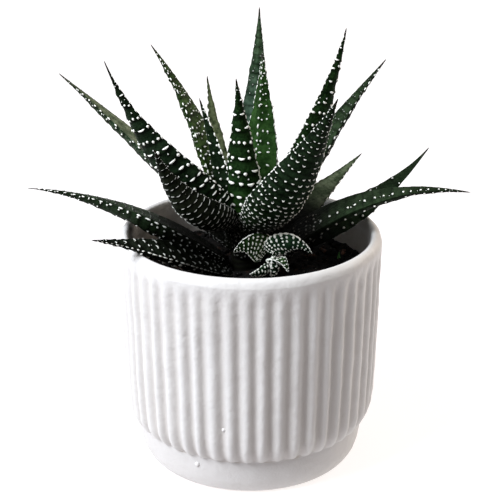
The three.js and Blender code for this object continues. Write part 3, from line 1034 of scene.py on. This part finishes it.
    def _spots(self, rule: TubercleRule, place: float, arc: float, size: float) -> list[Point]:
        """Chooses where the tubercles of one row stand.

        Args:
            rule: their layout.
            place: of the row, along the leaf.
            arc: width of the face, in millimetres.
            size: half the width of a round one.

        Returns:
            For each its place across the face from -1 to 1, its half width and how far it is stretched.
        """
        draw = self.blade.draw
        if rule.lanes and place > self.LANES_FROM:
            stretches = [draw.uniform(*rule.stretch) if draw.random() < rule.bars else 1.0
                         for _ in rule.lanes]
            return [(lane + draw.normal(0, self.LANE_STRAY), size * stretch, stretch)
                    for lane, stretch in zip(rule.lanes, stretches)]
        bars = rule.bars if place < rule.barred else 0.2 * rule.bars
        spots = []
        end = self.ROW_REACH * arc
        cursor = -end + draw.uniform(0, 0.5) * (rule.spacing if arc > 2 * rule.spacing else 0)
        while cursor + size < end:
            stretch = draw.uniform(*rule.stretch) if draw.random() < bars else 1.0
            width = min(size * draw.uniform(*self.WIDTHS) * stretch, 0.5 * (end - cursor) + 0.3 * size)
            spots.append(((cursor + width) / (0.5 * arc), width, stretch))
            even = rule.spacing - 2 * rule.radius
            cursor += 2 * width + even * draw.uniform(*self.SPACES) * size / rule.radius
        return spots

    def _row_of_dots(self, dots: Dots, rule: TubercleRule, walked: float, outer: bool) -> None:
        """Lays one row of tubercles across a face.

        Args:
            dots: the list they go on.
            rule: their layout.
            walked: place of the row, in millimetres from the root.
            outer: whether they stand on the outer face.
        """
        draw = self.blade.draw
        place = walked / self.shape.length
        half = float(self.blade.half_width(np.array(place)))
        thick = float(self.blade.thickness(np.array(place)))
        arc = math.pi * math.sqrt((half ** 2 + thick ** 2) / 2) if outer else 2 * half
        size = min(rule.radius * self._growth(rule, place), self.FATTEST * half)
        white = rule.whiteness
        for across, width, stretch in self._spots(rule, place, arc, size):
            if draw.random() < rule.gaps:
                continue
            angle = math.pi * (1.5 + 0.49 * across) if outer else math.acos(max(-1.0, min(1.0, -across)))
            lean = self.blade.slant * math.cos(angle) * half
            jitter = draw.normal(0, rule.stagger * rule.pitch)
            dots.put((walked + lean + jitter) / self.shape.length, angle, width,
                     size * draw.uniform(*self.DEPTHS) / stretch ** 0.45, rule.height * size / rule.radius,
                     draw.normal(0, self.TILT) / stretch, rule.curve * draw.uniform(*self.CURVES), white)
            if draw.random() < rule.strays:
                small = size * draw.uniform(*self.STRAY_SIZES)
                step = rule.pitch * float(self.blade.widening(place))
                beyond = step * draw.uniform(*self.STRAY_PLACES)
                dots.put((walked + beyond) / self.shape.length, angle + draw.normal(0, 0.12), small, small,
                         rule.height * small / rule.radius, 0.0, 0.0, 0.8 * white)

    def _line_of_dots(self, dots: Dots, rule: TubercleRule, angle: float, apart: float) -> None:
        """Lays the tubercles that follow an edge or the middle of the leaf, drawn out along it.

        Args:
            dots: the list they go on.
            rule: their layout.
            angle: round the leaf, of the line.
            apart: distance from one to the next in the middle of the leaf.
        """
        draw = self.blade.draw
        length = self.shape.length
        walked = float(self.blade.places[0]) * length + 1.0
        while walked < self.LINE_END * length:
            place = walked / length
            size = min(rule.radius, self.LINE_RADIUS) * self._growth(rule, place)
            if draw.random() > self.LINE_GAPS:
                dots.put(place, angle, size * 0.8, size * draw.uniform(*self.LINE_LENGTHS), 0.9 * size,
                         0.0, 0.0, min(1.0, rule.whiteness + 0.15))
            walked += apart * float(self.blade.widening(place)) * draw.uniform(*self.LINE_SPACES)

    def _dots(self) -> Dots:
        """Lays out all the tubercles of the leaf.

        Returns:
            The tubercles: those in rows, then those along the edges and the middle.
        """
        dots = Dots([])
        for pattern, rows, outer in ((self.shape.outer, self.blade.outer_rows, True),
                                     (self.shape.inner, self.blade.inner_rows, False)):
            if pattern.value.gaps < 1:
                for walked in rows:
                    self._row_of_dots(dots, pattern.value, walked, outer)
        rule = self.shape.outer.value
        if rule.rim:
            for angle in (math.pi + self.EDGE, FULL_TURN - self.EDGE):
                self._line_of_dots(dots, rule, angle, rule.rim)
        rule = self.shape.inner.value
        if rule.seam:
            self._line_of_dots(dots, rule, math.pi / 2, rule.seam)
        return dots

    def _add_tubercles(self, form: Form, dots: Dots) -> None:
        """Adds the tubercles: low domes that follow the surface, rooted a little below it.

        Args:
            form: what they are added to.
            dots: their places and sizes.
        """
        place, angle, across, along, height, tilt, curve, white = dots.columns()
        shares = np.array(self.DOME)[None, :, None]
        turns = around(self.dot_columns)[None, None, :]
        normal, scale = self.blade.slopes(place, angle)
        wide = across * shares * np.cos(turns)
        deep = along * shares * np.sin(turns) * (1 - 0.18 * np.cos(2 * turns)) + curve * wide ** 2 / across
        wide, deep = wide * np.cos(tilt) - deep * np.sin(tilt), wide * np.sin(tilt) + deep * np.cos(tilt)
        dot_place = place + deep / self.shape.length
        dot_angle = angle + wide / np.maximum(scale, 0.2)
        outward, _ = self.blade.slopes(dot_place, dot_angle)
        lift = height * np.sqrt(1 - np.minimum(shares, 0.998) ** 2) - 0.10 * (shares == 1)
        rings = self.blade.surface(dot_place, dot_angle) + outward * lift[..., None]
        centre = self.blade.surface(place, angle)
        ends = np.concatenate([centre - self.DEEP * normal, centre + normal * height[..., None]], axis=1)
        # Painted shade also dims the whiteness of the tubercles that stand low in the dark
        low_shade = self._painted_low_shade(place[:, :, 0], centre[:, 0])
        # Painted shade: the foot ring of every dome is dark, its upper rings white
        above = np.concatenate([np.repeat([0.0, 1.0, 1.0], self.dot_columns), [0.0, 1.0]])[None]
        form.add(rings, ends[:, :, 0], along=place[:, :, 0], inner=angle[:, :, 0] < math.pi,
                 shade=1 - above, sheath=low_shade, white=above * white[:, :, 0] * (1 - 0.92 * low_shade))


@dataclass
class Pot:
    """Ribbed pot with a plain foot and a rounded lip: one closed skin from underside to floor inside.

    rib_turn is how far the first rib is turned from the front, in degrees, groove_fade the length over
    which the grooves run out below the lip, and rib_fullness the power that broadens the ribs. Other
    sizes are in millimetres.
    """

    COLUMNS = (0, 0.07, 0.14, 0.22, 0.31, 0.41, 0.5, 0.59, 0.69, 0.78, 0.86, 0.93)  # shares of a rib
    RIB_STRAY = 0.055  # how far ribs stray from their even places, as a share of their pitch
    DEPTHS = (0.86, 1.10)  # of the grooves, as shares of groove_depth
    TOPS = (-0.7, 0.3)  # of the grooves, beyond groove_top
    SHALLOWER = (0.16, 0.24)  # shares of their depth that grooves lose up to 60 mm and up to 80 mm
    PIMPLES = ((-101.5, 29.0, 0.75), (-116.5, 11.2, 0.95))  # heading, height and radius of each
    PIMPLE_RINGS = (1.0, 0.8, 0.45)  # widths of its rings, from its foot up

    ribs: int = 50
    rib_turn: float = 2.4
    groove_depth: float = 1.35
    groove_top: float = 82.4
    groove_fade: float = 5.5
    rib_fullness: float = 1.15
    foot_height: float = 14.6
    foot_inset: float = 5.6
    seed: int = 5

    def __post_init__(self) -> None:
        """Takes the overall size from the frame."""
        low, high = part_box("pot")
        self.radius = (high.x - low.x) / 2 / MM
        self.height = high.z / MM

    def _outline(self) -> Array:
        """Draws the outline, from underneath, up the outside, over the lip and down the inside.

        Returns:
            Rows of radius, height, whether the ribs run there and how far inside it lies, from 0 to 1, which
            sets the painted shade inside.
        """
        r, foot, top = self.radius, self.foot_height, self.height
        inset = self.foot_inset
        foot_line = bend_through([(r - 11, 0, 0, 0), (r - 8.6, 0.9, 0, 0), (r - 7.0, 3.4, 0, 0),
                                  (r - inset - 0.4, 7, 0, 0), (r - inset, foot - 1.6, 0, 0),
                                  (r - inset, foot - 0.3, 0, 0)], 20)
        rib_line = bend_through([(r - 5.1, foot, 1, 0), (r - 3.8, foot + 0.9, 1, 0),
                                 (r - 2.3, foot + 3.6, 1, 0), (r - 1.3, foot + 8, 1, 0),
                                 (r - 0.8, foot + 20, 1, 0), (r - 0.35, foot + 42, 1, 0),
                                 (r, self.groove_top - 3.5, 1, 0), (r, self.groove_top + 0.4, 1, 0)], 78)
        lip_line = bend_through([(r, self.groove_top + 0.6, 0, 0), (r - 0.25, top - 2.3, 0, 0),
                                 (r - 0.8, top - 1.25, 0, 0), (r - 1.6, top - 0.45, 0, 0),
                                 (r - 2.5, top, 0, 0), (r - 3.4, top - 0.35, 0, 0),
                                 (r - 3.8, top - 1.4, 0, 0), (r - 3.9, top - 4, 0, 0.05)], 22)
        wall_line = bend_through([(r - 3.95, top - 5, 0, 0.06), (r - 4.2, top - 13, 0, 0.7),
                                  (r - 4.9, 22, 0, 1), (r - 7.5, 8, 0, 1), (r - 11.5, 5, 0, 1)], 18)
        return np.vstack([foot_line, rib_line, lip_line, wall_line])

    def _ribbing(self, height: Array) -> tuple[Array, Array, Array, Array]:
        """Spreads the columns round the pot and carves the grooves between the ribs, each a little different.

        Args:
            height: of each row of the outline.

        Returns:
            The angle of each column, how far it lies down in its groove, how deep that groove is, and row
            by row how much of that depth it has.
        """
        draw = np.random.default_rng(self.seed)
        share = np.tile(self.COLUMNS, self.ribs)
        left = np.repeat(np.arange(self.ribs), len(self.COLUMNS))
        right = (left + 1) % self.ribs
        pitch = FULL_TURN / self.ribs
        shift = draw.normal(0, self.RIB_STRAY, self.ribs) * pitch
        depth = self.groove_depth * draw.uniform(*self.DEPTHS, self.ribs)
        top = self.groove_top + draw.uniform(*self.TOPS, self.ribs)
        start = math.radians(self.rib_turn - 90)
        angle = start + (left + share) * pitch + shift[left] * (1 - share) + shift[right] * share
        nearest = np.where(share < 0.5, left, right)
        groove = 0.5 - 0.5 * np.cos(math.pi * np.abs(2 * share - 1) ** self.rib_fullness)
        strength = ease(height, top[nearest] + 0.6, top[nearest] - self.groove_fade)
        low, high = self.SHALLOWER
        strength = strength * (1 - low * ease(height, 20, 60) - high * ease(height, 60, 80))
        return angle, groove, depth[nearest], strength

    def build(self, finish: bpy.types.Material) -> bpy.types.Object:
        """Builds the pot.

        Args:
            finish: its glaze.

        Returns:
            The piece.
        """
        outline = self._outline()
        radius, height, ribbed, inside = (outline[:, k, None] for k in range(4))
        angle, groove, depth, strength = self._ribbing(height)
        carved = np.maximum(radius - groove * depth * ribbed * strength,
                            np.minimum(radius, self.radius - self.foot_inset + 0.1))
        even = turned(carved, angle, height)
        uneven = 0.10 * Waves(self.seed, 16.0).at(even) + 0.05 * Waves(self.seed + 1, 5.0).at(even)
        carved = carved + uneven * ease(height, 1.0, 4.0) * ease(height, self.height, self.height - 2)
        rings = turned(carved, angle, height)
        # Painted shade: the outside of the foot gets greyer glaze
        foot = ease(height, self.foot_height + 0.5, self.foot_height - 0.5) * (1 - inside) + 0 * angle
        form = Form()
        # groove, inside and foot feed painted shade in the glaze: greyer grooves, a darker inside wall and a
        # greyer foot
        form.add(rings[None], np.array([[[0, 0, 0], [0, 0, outline[-1, 1]]]], float),
                 groove=np.append(groove * ribbed * strength, [0, 0])[None],
                 inside=np.append(np.clip(inside, 0, 1) + 0 * angle, [0, 1])[None],
                 foot=np.append(foot, [1, 0])[None])
        self._add_pimples(form, carved, outline[:, 1], angle)
        piece = form.piece("pot_glazed", finish)
        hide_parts("pot")
        return piece

    def _add_pimples(self, form: Form, carved: Array, heights: Array, angles: Array) -> None:
        """Adds the two small blobs of glaze at the front of the pot.

        Args:
            form: what they are added to.
            carved: radius of the pot, row by row and column by column.
            heights: of the rows.
            angles: of the columns, in radians.
        """
        up = np.array([0, 0, 1.0])
        shares = np.array(self.PIMPLE_RINGS)[:, None, None]
        turns = around(12)[None, :, None]
        for turn, height, size in self.PIMPLES:
            heading = math.radians(turn)
            row = int(np.argmin(np.abs(heights[:int(np.argmax(heights))] - height)))
            column = int(np.argmin(np.abs(np.angle(np.exp(1j * (angles - heading))))))
            out = np.array([math.cos(heading), math.sin(heading), 0])
            side = np.array([-out[1], out[0], 0])
            centre = out * carved[row, column] + up * height
            rings = (centre + shares * size * (side * np.cos(turns) + up * np.sin(turns))
                     + out * size * 0.8 * (np.sqrt(1 - shares ** 2) - 0.2 * (shares == 1)))
            ends = np.array([[centre - out * 0.3, centre + out * size * 0.8]])
            form.add(rings[None], ends, groove=np.zeros(1), inside=np.zeros(1), foot=np.zeros(1))


@dataclass(frozen=True)
class Loam:
    """Nearly black potting soil with brown fibres in it."""

    dark: Colour = paint("#0b0a09")
    brown: Colour = paint("#2a1d16")
    grit: Colour = paint("#77746a")

    def material(self) -> bpy.types.Material:
        """Builds the soil.

        Returns:
            The material.
        """
        shader = Shader("dark_loam")
        patch = shader.noise(380, 4)
        crumb = shader.noise(1400, 3)
        tone = shader.blend(shader.eased(patch, 0.52, 0.72, 0.0, 0.9), self.dark, self.brown)
        tone = shader.blend(shader.eased(shader.noise(1100, 2), 0.70, 0.76), tone, self.grit)
        relief = crumb + 1.5 * patch
        return shader.done(Base_Color=tone, Roughness=0.9, Specular_IOR_Level=0.12,
                           Normal=shader.bump(relief, 0.0006))


@dataclass(frozen=True)
class BarkFinish:
    """Reddish brown bark with darker fibres."""

    light: Colour = paint("#553626")
    dark: Colour = paint("#22140e")

    def material(self) -> bpy.types.Material:
        """Builds the bark.

        Returns:
            The material.
        """
        shader = Shader("red_bark")
        fibre = shader.noise(900, 4, (1.0, 1.0, 3.0))
        tone = shader.blend(shader.eased(fibre, 0.35, 0.65), self.dark, self.light)
        return shader.done(Base_Color=tone, Roughness=0.8, Specular_IOR_Level=0.2,
                           Normal=shader.bump(fibre, 0.0004))


@dataclass(frozen=True)
class StemInShade:
    """Olive stem darkened nearly to black, painted shade among the leaf bases, with brown scars where leaves
    have been.
    """

    # Painted shade: the stem's olive darkened nearly to black
    green: Colour = paint("#0c0e07")
    scar: Colour = paint("#070605")

    def material(self) -> bpy.types.Material:
        """Builds the stem's skin.

        Returns:
            The material.
        """
        shader = Shader("stem_painted_dark")
        patch = shader.noise(320, 3)
        tone = shader.blend(shader.mark("scar"), self.green, self.scar)
        tone = shader.blend(shader.eased(patch, 0.45, 0.7, 0.0, 0.6), tone, self.scar)
        return shader.done(Base_Color=tone, Roughness=0.7, Specular_IOR_Level=0.04,
                           Normal=shader.bump(patch, 0.0003))


@dataclass(frozen=True)
class ShootGreen:
    """Fresh green of a seedling, paler at its foot."""

    blade: Colour = paint("#33602a")
    foot: Colour = paint("#5d7d45")

    def material(self) -> bpy.types.Material:
        """Builds the green.

        Returns:
            The material.
        """
        shader = Shader("fresh_shoot")
        vein = shader.noise(1200, 2)
        tone = shader.blend(shader.eased(shader.mark("along"), 0.45, 0.0), self.blade, self.foot)
        tone = shader.blend(shader.eased(vein, 0.5, 0.7, 0.0, 0.4), tone, self.foot)
        return shader.done(Base_Color=tone, Roughness=0.5, Specular_IOR_Level=0.3,
                           Normal=shader.bump(vein, 0.0001))


@dataclass
class Soil:
    """The bed of soil, the crumbs on it, the bits of bark and the shoot: all sizes in millimetres.

    top is the middle height of the bed, wave how uneven it is and gap the play round it. floor and
    wall_radius are those of the pot's inside, crumbs is their number and shoot the place of the shoot.
    """

    CRUMB_LEAST = 0.45  # half the width of the smallest crumb
    CRUMB_MORE = 0.95  # how much wider than that half the largest one is
    CRUMB_POWER = 2.5  # how few of them are large
    # Place (x and y), heading, length, width and height of each bit of bark
    BARK = ((25, 22, 62, 9, 1.8, 1.3), (28, 14, 120, 7, 1.5, 1.2), (35, 13, 78, 6, 1.6, 1.2),
            (22, 10, 20, 5, 1.4, 1.1), (-18, -24, 150, 6, 1.6, 1.2))

    top: float = 71.0
    wave: float = 0.35
    gap: float = 0.3
    floor: float = 5.0
    wall_radius: float = 43.6
    crumbs: int = 900
    shoot: tuple[float, float] = (32.5, 6)
    seed: int = 21

    def height_at(self, x: Array, y: Array) -> Array:
        """Gives the gently uneven height of the soil, as the frame has it."""
        return self.top + self.wave * (np.sin(x / 5) * np.cos(y / 6) + np.sin(y / 9))

    def build_bed(self, finish: bpy.types.Material) -> bpy.types.Object:
        """Builds the bed: a closed body with a lumpy top.

        Args:
            finish: the soil's material.

        Returns:
            The piece.
        """
        radius = self.wall_radius - self.gap
        turns = around(150)
        side = bend_through([(radius - 7.9, self.floor + self.gap), (radius - 4.0, self.floor + 3.2),
                             (radius - 1.1, 22), (radius - 0.4, self.top - 1)], 14)
        across = np.linspace(radius - 0.5, 0.6, 62)[:, None]
        flat = turned(across, turns, np.zeros(1))
        fine, broad = Waves(self.seed, 3.2).at(flat), Waves(self.seed + 1, 8.0).at(flat)
        height = self.height_at(flat[..., 0], flat[..., 1]) + 0.28 * fine + 0.35 * broad
        rings = np.vstack([turned(side[:, :1], turns, side[:, 1:]), turned(across, turns, height)])
        ends = np.array([[[0, 0, self.floor + self.gap], [0, 0, height[-1].mean()]]])
        form = Form()
        form.add(rings[None], ends)
        piece = form.piece("soil_bed", finish)
        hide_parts("soil")
        return piece

    def build_crumbs(self, finish: bpy.types.Material) -> bpy.types.Object:
        """Builds the loose crumbs that lie on the bed.

        Args:
            finish: the soil's material.

        Returns:
            The piece.
        """
        draw = np.random.default_rng(self.seed + 2)
        reach = self.wall_radius - 2.2
        far = reach * np.sqrt(draw.uniform(0.02, 1, self.crumbs))
        turn = draw.uniform(0, FULL_TURN, self.crumbs)
        size = self.CRUMB_LEAST + self.CRUMB_MORE * draw.random(self.crumbs) ** self.CRUMB_POWER
        x, y = far * np.cos(turn), far * np.sin(turn)
        centre = np.stack([x, y, self.height_at(x, y) + 0.25 * size], axis=-1)
        lean = np.linspace(0, math.pi, 7)[1:-1, None]
        ball = turned(np.sin(lean), around(8), np.cos(lean))
        poles = np.array([[0, 0, 1.0], [0, 0, -1.0]])
        stretch = draw.uniform(0.6, 1.3, (self.crumbs, 3)) * size[:, None]
        rough = Waves(self.seed + 3, 2.4)
        made = []
        for unit in (ball.reshape(-1, 3), poles):
            lump = 1 + 0.30 * rough.at(unit[None] * 1.6 + centre[:, None] * 3)
            made.append(unit[None] * lump[..., None] * stretch[:, None] + centre[:, None])
        form = Form()
        form.add(made[0].reshape(self.crumbs, *ball.shape), made[1])
        piece = form.piece("soil_crumbs", finish)
        return piece

    def build_bark(self, finish: bpy.types.Material) -> None:
        """Builds the bits of bark, one piece for each node.

        Args:
            finish: the bark's material.
        """
        along = np.linspace(-1, 1, 22)[:, None]
        turns = around(14)
        for number, (x, y, heading, length, width, height) in enumerate(self.BARK, 1):
            rough = Waves(self.seed + 10 + number, 1.6)
            taper = (1 - np.abs(along) ** 5) ** 0.4 * (1 + 0.12 * np.sin(along * 5 + number))
            taper = np.maximum(taper, 0.35)
            flat = np.stack([along * length / 2 + 0 * turns, taper * width / 2 * np.cos(turns),
                             taper * height / 2 * np.sin(turns)], axis=-1)
            flat[..., 1:] *= 1 + 0.16 * rough.at(flat)[..., None]
            turn = math.radians(heading)
            spin = np.array([[math.cos(turn), math.sin(turn), 0], [-math.sin(turn), math.cos(turn), 0],
                             [0, 0, 1]])
            centre = np.array([x, y, float(self.height_at(x, y)) + height * 0.2])
            rings = flat @ spin + centre
            ends = np.array([[[-length / 2, 0, 0], [length / 2, 0, 0]]]) @ spin + centre
            form = Form()
            form.add(rings[None], ends)
            piece = form.piece(f"bark_bit_{number}", finish)
            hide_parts(f"bark_{number}")

    def build_shoot(self, finish: bpy.types.Material) -> bpy.types.Object:
        """Builds the shoot: a narrow blade that leans a little, a trace slimmer than in the frame.

        Args:
            finish: its green.

        Returns:
            The piece.
        """
        shape = LeafShape("sprout", 70, 78, 78, 0, 5.5, 1.8, 1.1, 0, 0, self.top - 2, 0, Tone.PUP,
                          Pattern.BARE, Pattern.BARE)
        blade = Blade(shape, self.shoot, self.seed)
        place, angle = np.meshgrid(np.linspace(0, 1, 26, endpoint=False), around(18), indexing="ij")
        middle = np.stack([np.interp(place, blade.places, blade.line[:, k]) for k in range(3)], axis=-1)
        rings = middle + 0.97 * (blade.surface(place, angle) - middle)
        form = Form()
        form.add(rings[None], np.array([[rings[0].mean(axis=0), blade.line[-1]]]),
                 along=np.append(place, [0, 1])[None])
        piece = form.piece("sprout_blade", finish)
        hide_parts("sprout")
        return piece


@dataclass
class Stem:
    """A short upright stem with rings of leaf scars."""

    node: str
    x: float
    y: float
    root_radius: float
    top_radius: float
    bottom: float
    top: float

    def build(self, finish: bpy.types.Material) -> bpy.types.Object:
        """Builds the stem.

        Args:
            finish: its skin.

        Returns:
            The piece.
        """
        heights = np.linspace(self.bottom, self.top, 60, endpoint=False)[:, None]
        turns = around(32)
        share = ease(heights, self.bottom + 12, self.top)
        radius = self.root_radius + (self.top_radius - self.root_radius) * share
        radius = radius * np.sqrt(np.clip((self.top - heights) / 2, 0.02, 1))
        scar = 0.5 + 0.5 * np.sin(heights * 3.1 + 1.2 * np.sin(turns * 2))
        radius = radius * (0.97 - 0.05 * scar)
        rings = turned(radius, turns, heights, (self.x, self.y))
        ends = np.array([[[self.x, self.y, self.bottom], [self.x, self.y, self.top]]], float)
        form = Form()
        form.add(rings[None], ends, scar=np.append(scar, [0, 0])[None])
        piece = form.piece(f"{self.node}_grown", finish)
        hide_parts(self.node)
        return piece


@dataclass
class Rosette:
    """The stems and every leaf of the plant, which stands at crown, and of its pup, which stands at pup."""

    crown: tuple[float, float] = (-2, 2)
    pup: tuple[float, float] = (7, -5)
    seed: int = 100

    def build(self) -> None:
        """Builds the stems and the leaves."""
        stem = StemInShade().material()
        Stem("main_stem", *self.crown, 5.2, 3.4, 58, 92).build(stem)
        Stem("pup_stem", *self.pup, 2.1, 1.5, 64, 79).build(stem)
        skins = {tone: tone.value.material() for tone in Tone}
        for number, shape in enumerate(LEAVES):
            Leaf(shape, self.crown, self.seed + number).build(skins[shape.tone])
        for number, shape in enumerate(PUP_LEAVES):
            Leaf(shape, self.pup, self.seed + 50 + number, stations=72, inner_columns=12,
                 outer_columns=26, slot="pup_leaf").build(skins[shape.tone])


@dataclass
class Studio:
    """Pale floor, soft light from the left and the camera: sizes in metres, the lens in millimetres.

    window points to the brighter side of the room. dim and bright are the strengths of its two sides,
    warm and cool their colours, and overhead is what the ceiling adds. The floor glows: pale behind the
    pot's front and dim before it, where it only lights the grooves from below.
    """

    camera_back: float = 0.420
    camera_height: float = 0.248
    camera_pitch: float = 22.05
    lens: float = 90.0
    floor_size: float = 8.0
    window: Point = (-0.70, 0.30, 0.65)
    dim: float = 0.03
    bright: float = 0.36
    overhead: float = 0.65
    warm: Colour = (1.0, 0.82, 0.64)
    cool: Colour = (0.97, 0.99, 1.0)
    floor_grey: Colour = (0.26, 0.265, 0.30)
    floor_light: Colour = (0.28, 0.285, 0.32)
    far_glow: Colour = (0.83, 0.79, 0.755)
    near_glow: Colour = (0.20, 0.16, 0.12)
    near_edge: tuple[float, float] = (-0.044, -0.062)

    def build(self) -> None:
        """Builds the floor, the lights, the surroundings and the camera."""
        self._floor()
        self._surroundings()
        self._light("key", (-0.90, -0.52, 1.0), 0.6, 28.5, (0.93, 0.98, 1.05))
        self._light("edge", (0.80, 0.55, 0.45), 0.7, 5.0, (1.0, 0.86, 0.73))
        self._camera()

    def _floor(self) -> None:
        """Lays the floor."""
        half = self.floor_size / 2
        mesh = bpy.data.meshes.new("floor")
        corners = [(-half, -half, 0), (half, -half, 0), (half, half, 0), (-half, half, 0)]
        mesh.from_pydata(corners, [], [(0, 1, 2, 3)])
        shader = Shader("pale_floor")
        cloud = shader.eased(shader.noise(3, 2), 0.3, 0.7)
        tone = shader.blend(cloud, self.floor_grey, self.floor_light)
        depth = shader.node("ShaderNodeSeparateXYZ", None, {0: shader.place}, output="Y")
        glow = shader.blend(shader.eased(depth, *self.near_edge), self.far_glow, self.near_glow)
        mesh.materials.append(shader.done(Base_Color=tone, Roughness=0.8, Emission_Color=glow,
                                          Emission_Strength=1.0))
        floor = bpy.data.objects.new("floor", mesh)
        bpy.context.scene.collection.objects.link(floor)

    def _surroundings(self) -> None:
        """Lights the room: cool and bright at the left, warm and dim at the right, bright overhead."""
        world = bpy.data.worlds.new("room")
        world.use_nodes = True
        nodes = Nodes(world.node_tree)
        facing = nodes.node("ShaderNodeVectorMath", {"operation": "DOT_PRODUCT"},
                            {0: nodes.node("ShaderNodeTexCoord"), 1: self.window}, output="Value")
        share = nodes.eased(facing, -0.6, 0.6)
        background = world.node_tree.nodes["Background"].inputs
        high = nodes.node("ShaderNodeSeparateXYZ", None, {0: nodes.node("ShaderNodeTexCoord")}, output="Z")
        strength = self.dim + (self.bright - self.dim) * share + self.overhead * nodes.eased(high, 0.35, 0.95)
        nodes.feed(background["Strength"], strength)
        nodes.feed(background["Color"], nodes.blend(share, self.warm, self.cool))
        bpy.context.scene.world = world

    def _light(self, name: str, place: Point, size: float, power: float, colour: Colour) -> None:
        """Hangs a square soft light that faces the plant.

        Args:
            name: of the light.
            place: where it hangs, in metres.
            size: of its side, in metres.
            power: in watts.
            colour: of its light.
        """
        lamp = bpy.data.lights.new(name, "AREA")
        lamp.size = size
        lamp.energy = power
        lamp.color = colour
        holder = bpy.data.objects.new(name, lamp)
        holder.location = place
        aim = Vector((0, 0, 0.08)) - holder.location
        holder.rotation_euler = aim.to_track_quat("-Z", "Y").to_euler()
        bpy.context.scene.collection.objects.link(holder)

    def _camera(self) -> None:
        """Sets the camera at the photograph's angle."""
        camera = bpy.data.cameras.new("camera")
        camera.lens = self.lens
        camera.sensor_width = 36
        holder = bpy.data.objects.new("camera", camera)
        holder.location = (0, -self.camera_back, self.camera_height)
        holder.rotation_euler = (math.radians(90 - self.camera_pitch), 0, 0)
        bpy.context.scene.collection.objects.link(holder)
        bpy.context.scene.camera = holder
        bpy.context.scene.view_settings.view_transform = "Standard"


def main() -> None:
    """Builds the studio, the pot, the soil and the plant in that order."""
    logging.basicConfig(level=logging.INFO, format="%(message)s")
    Studio().build()
    Pot().build(Glaze().material())
    soil, loam = Soil(), Loam().material()
    soil.build_bed(loam)
    soil.build_crumbs(loam)
    soil.build_bark(BarkFinish().material())
    soil.build_shoot(ShootGreen().material())
    Rosette().build()


if __name__ == "__main__":
    main()
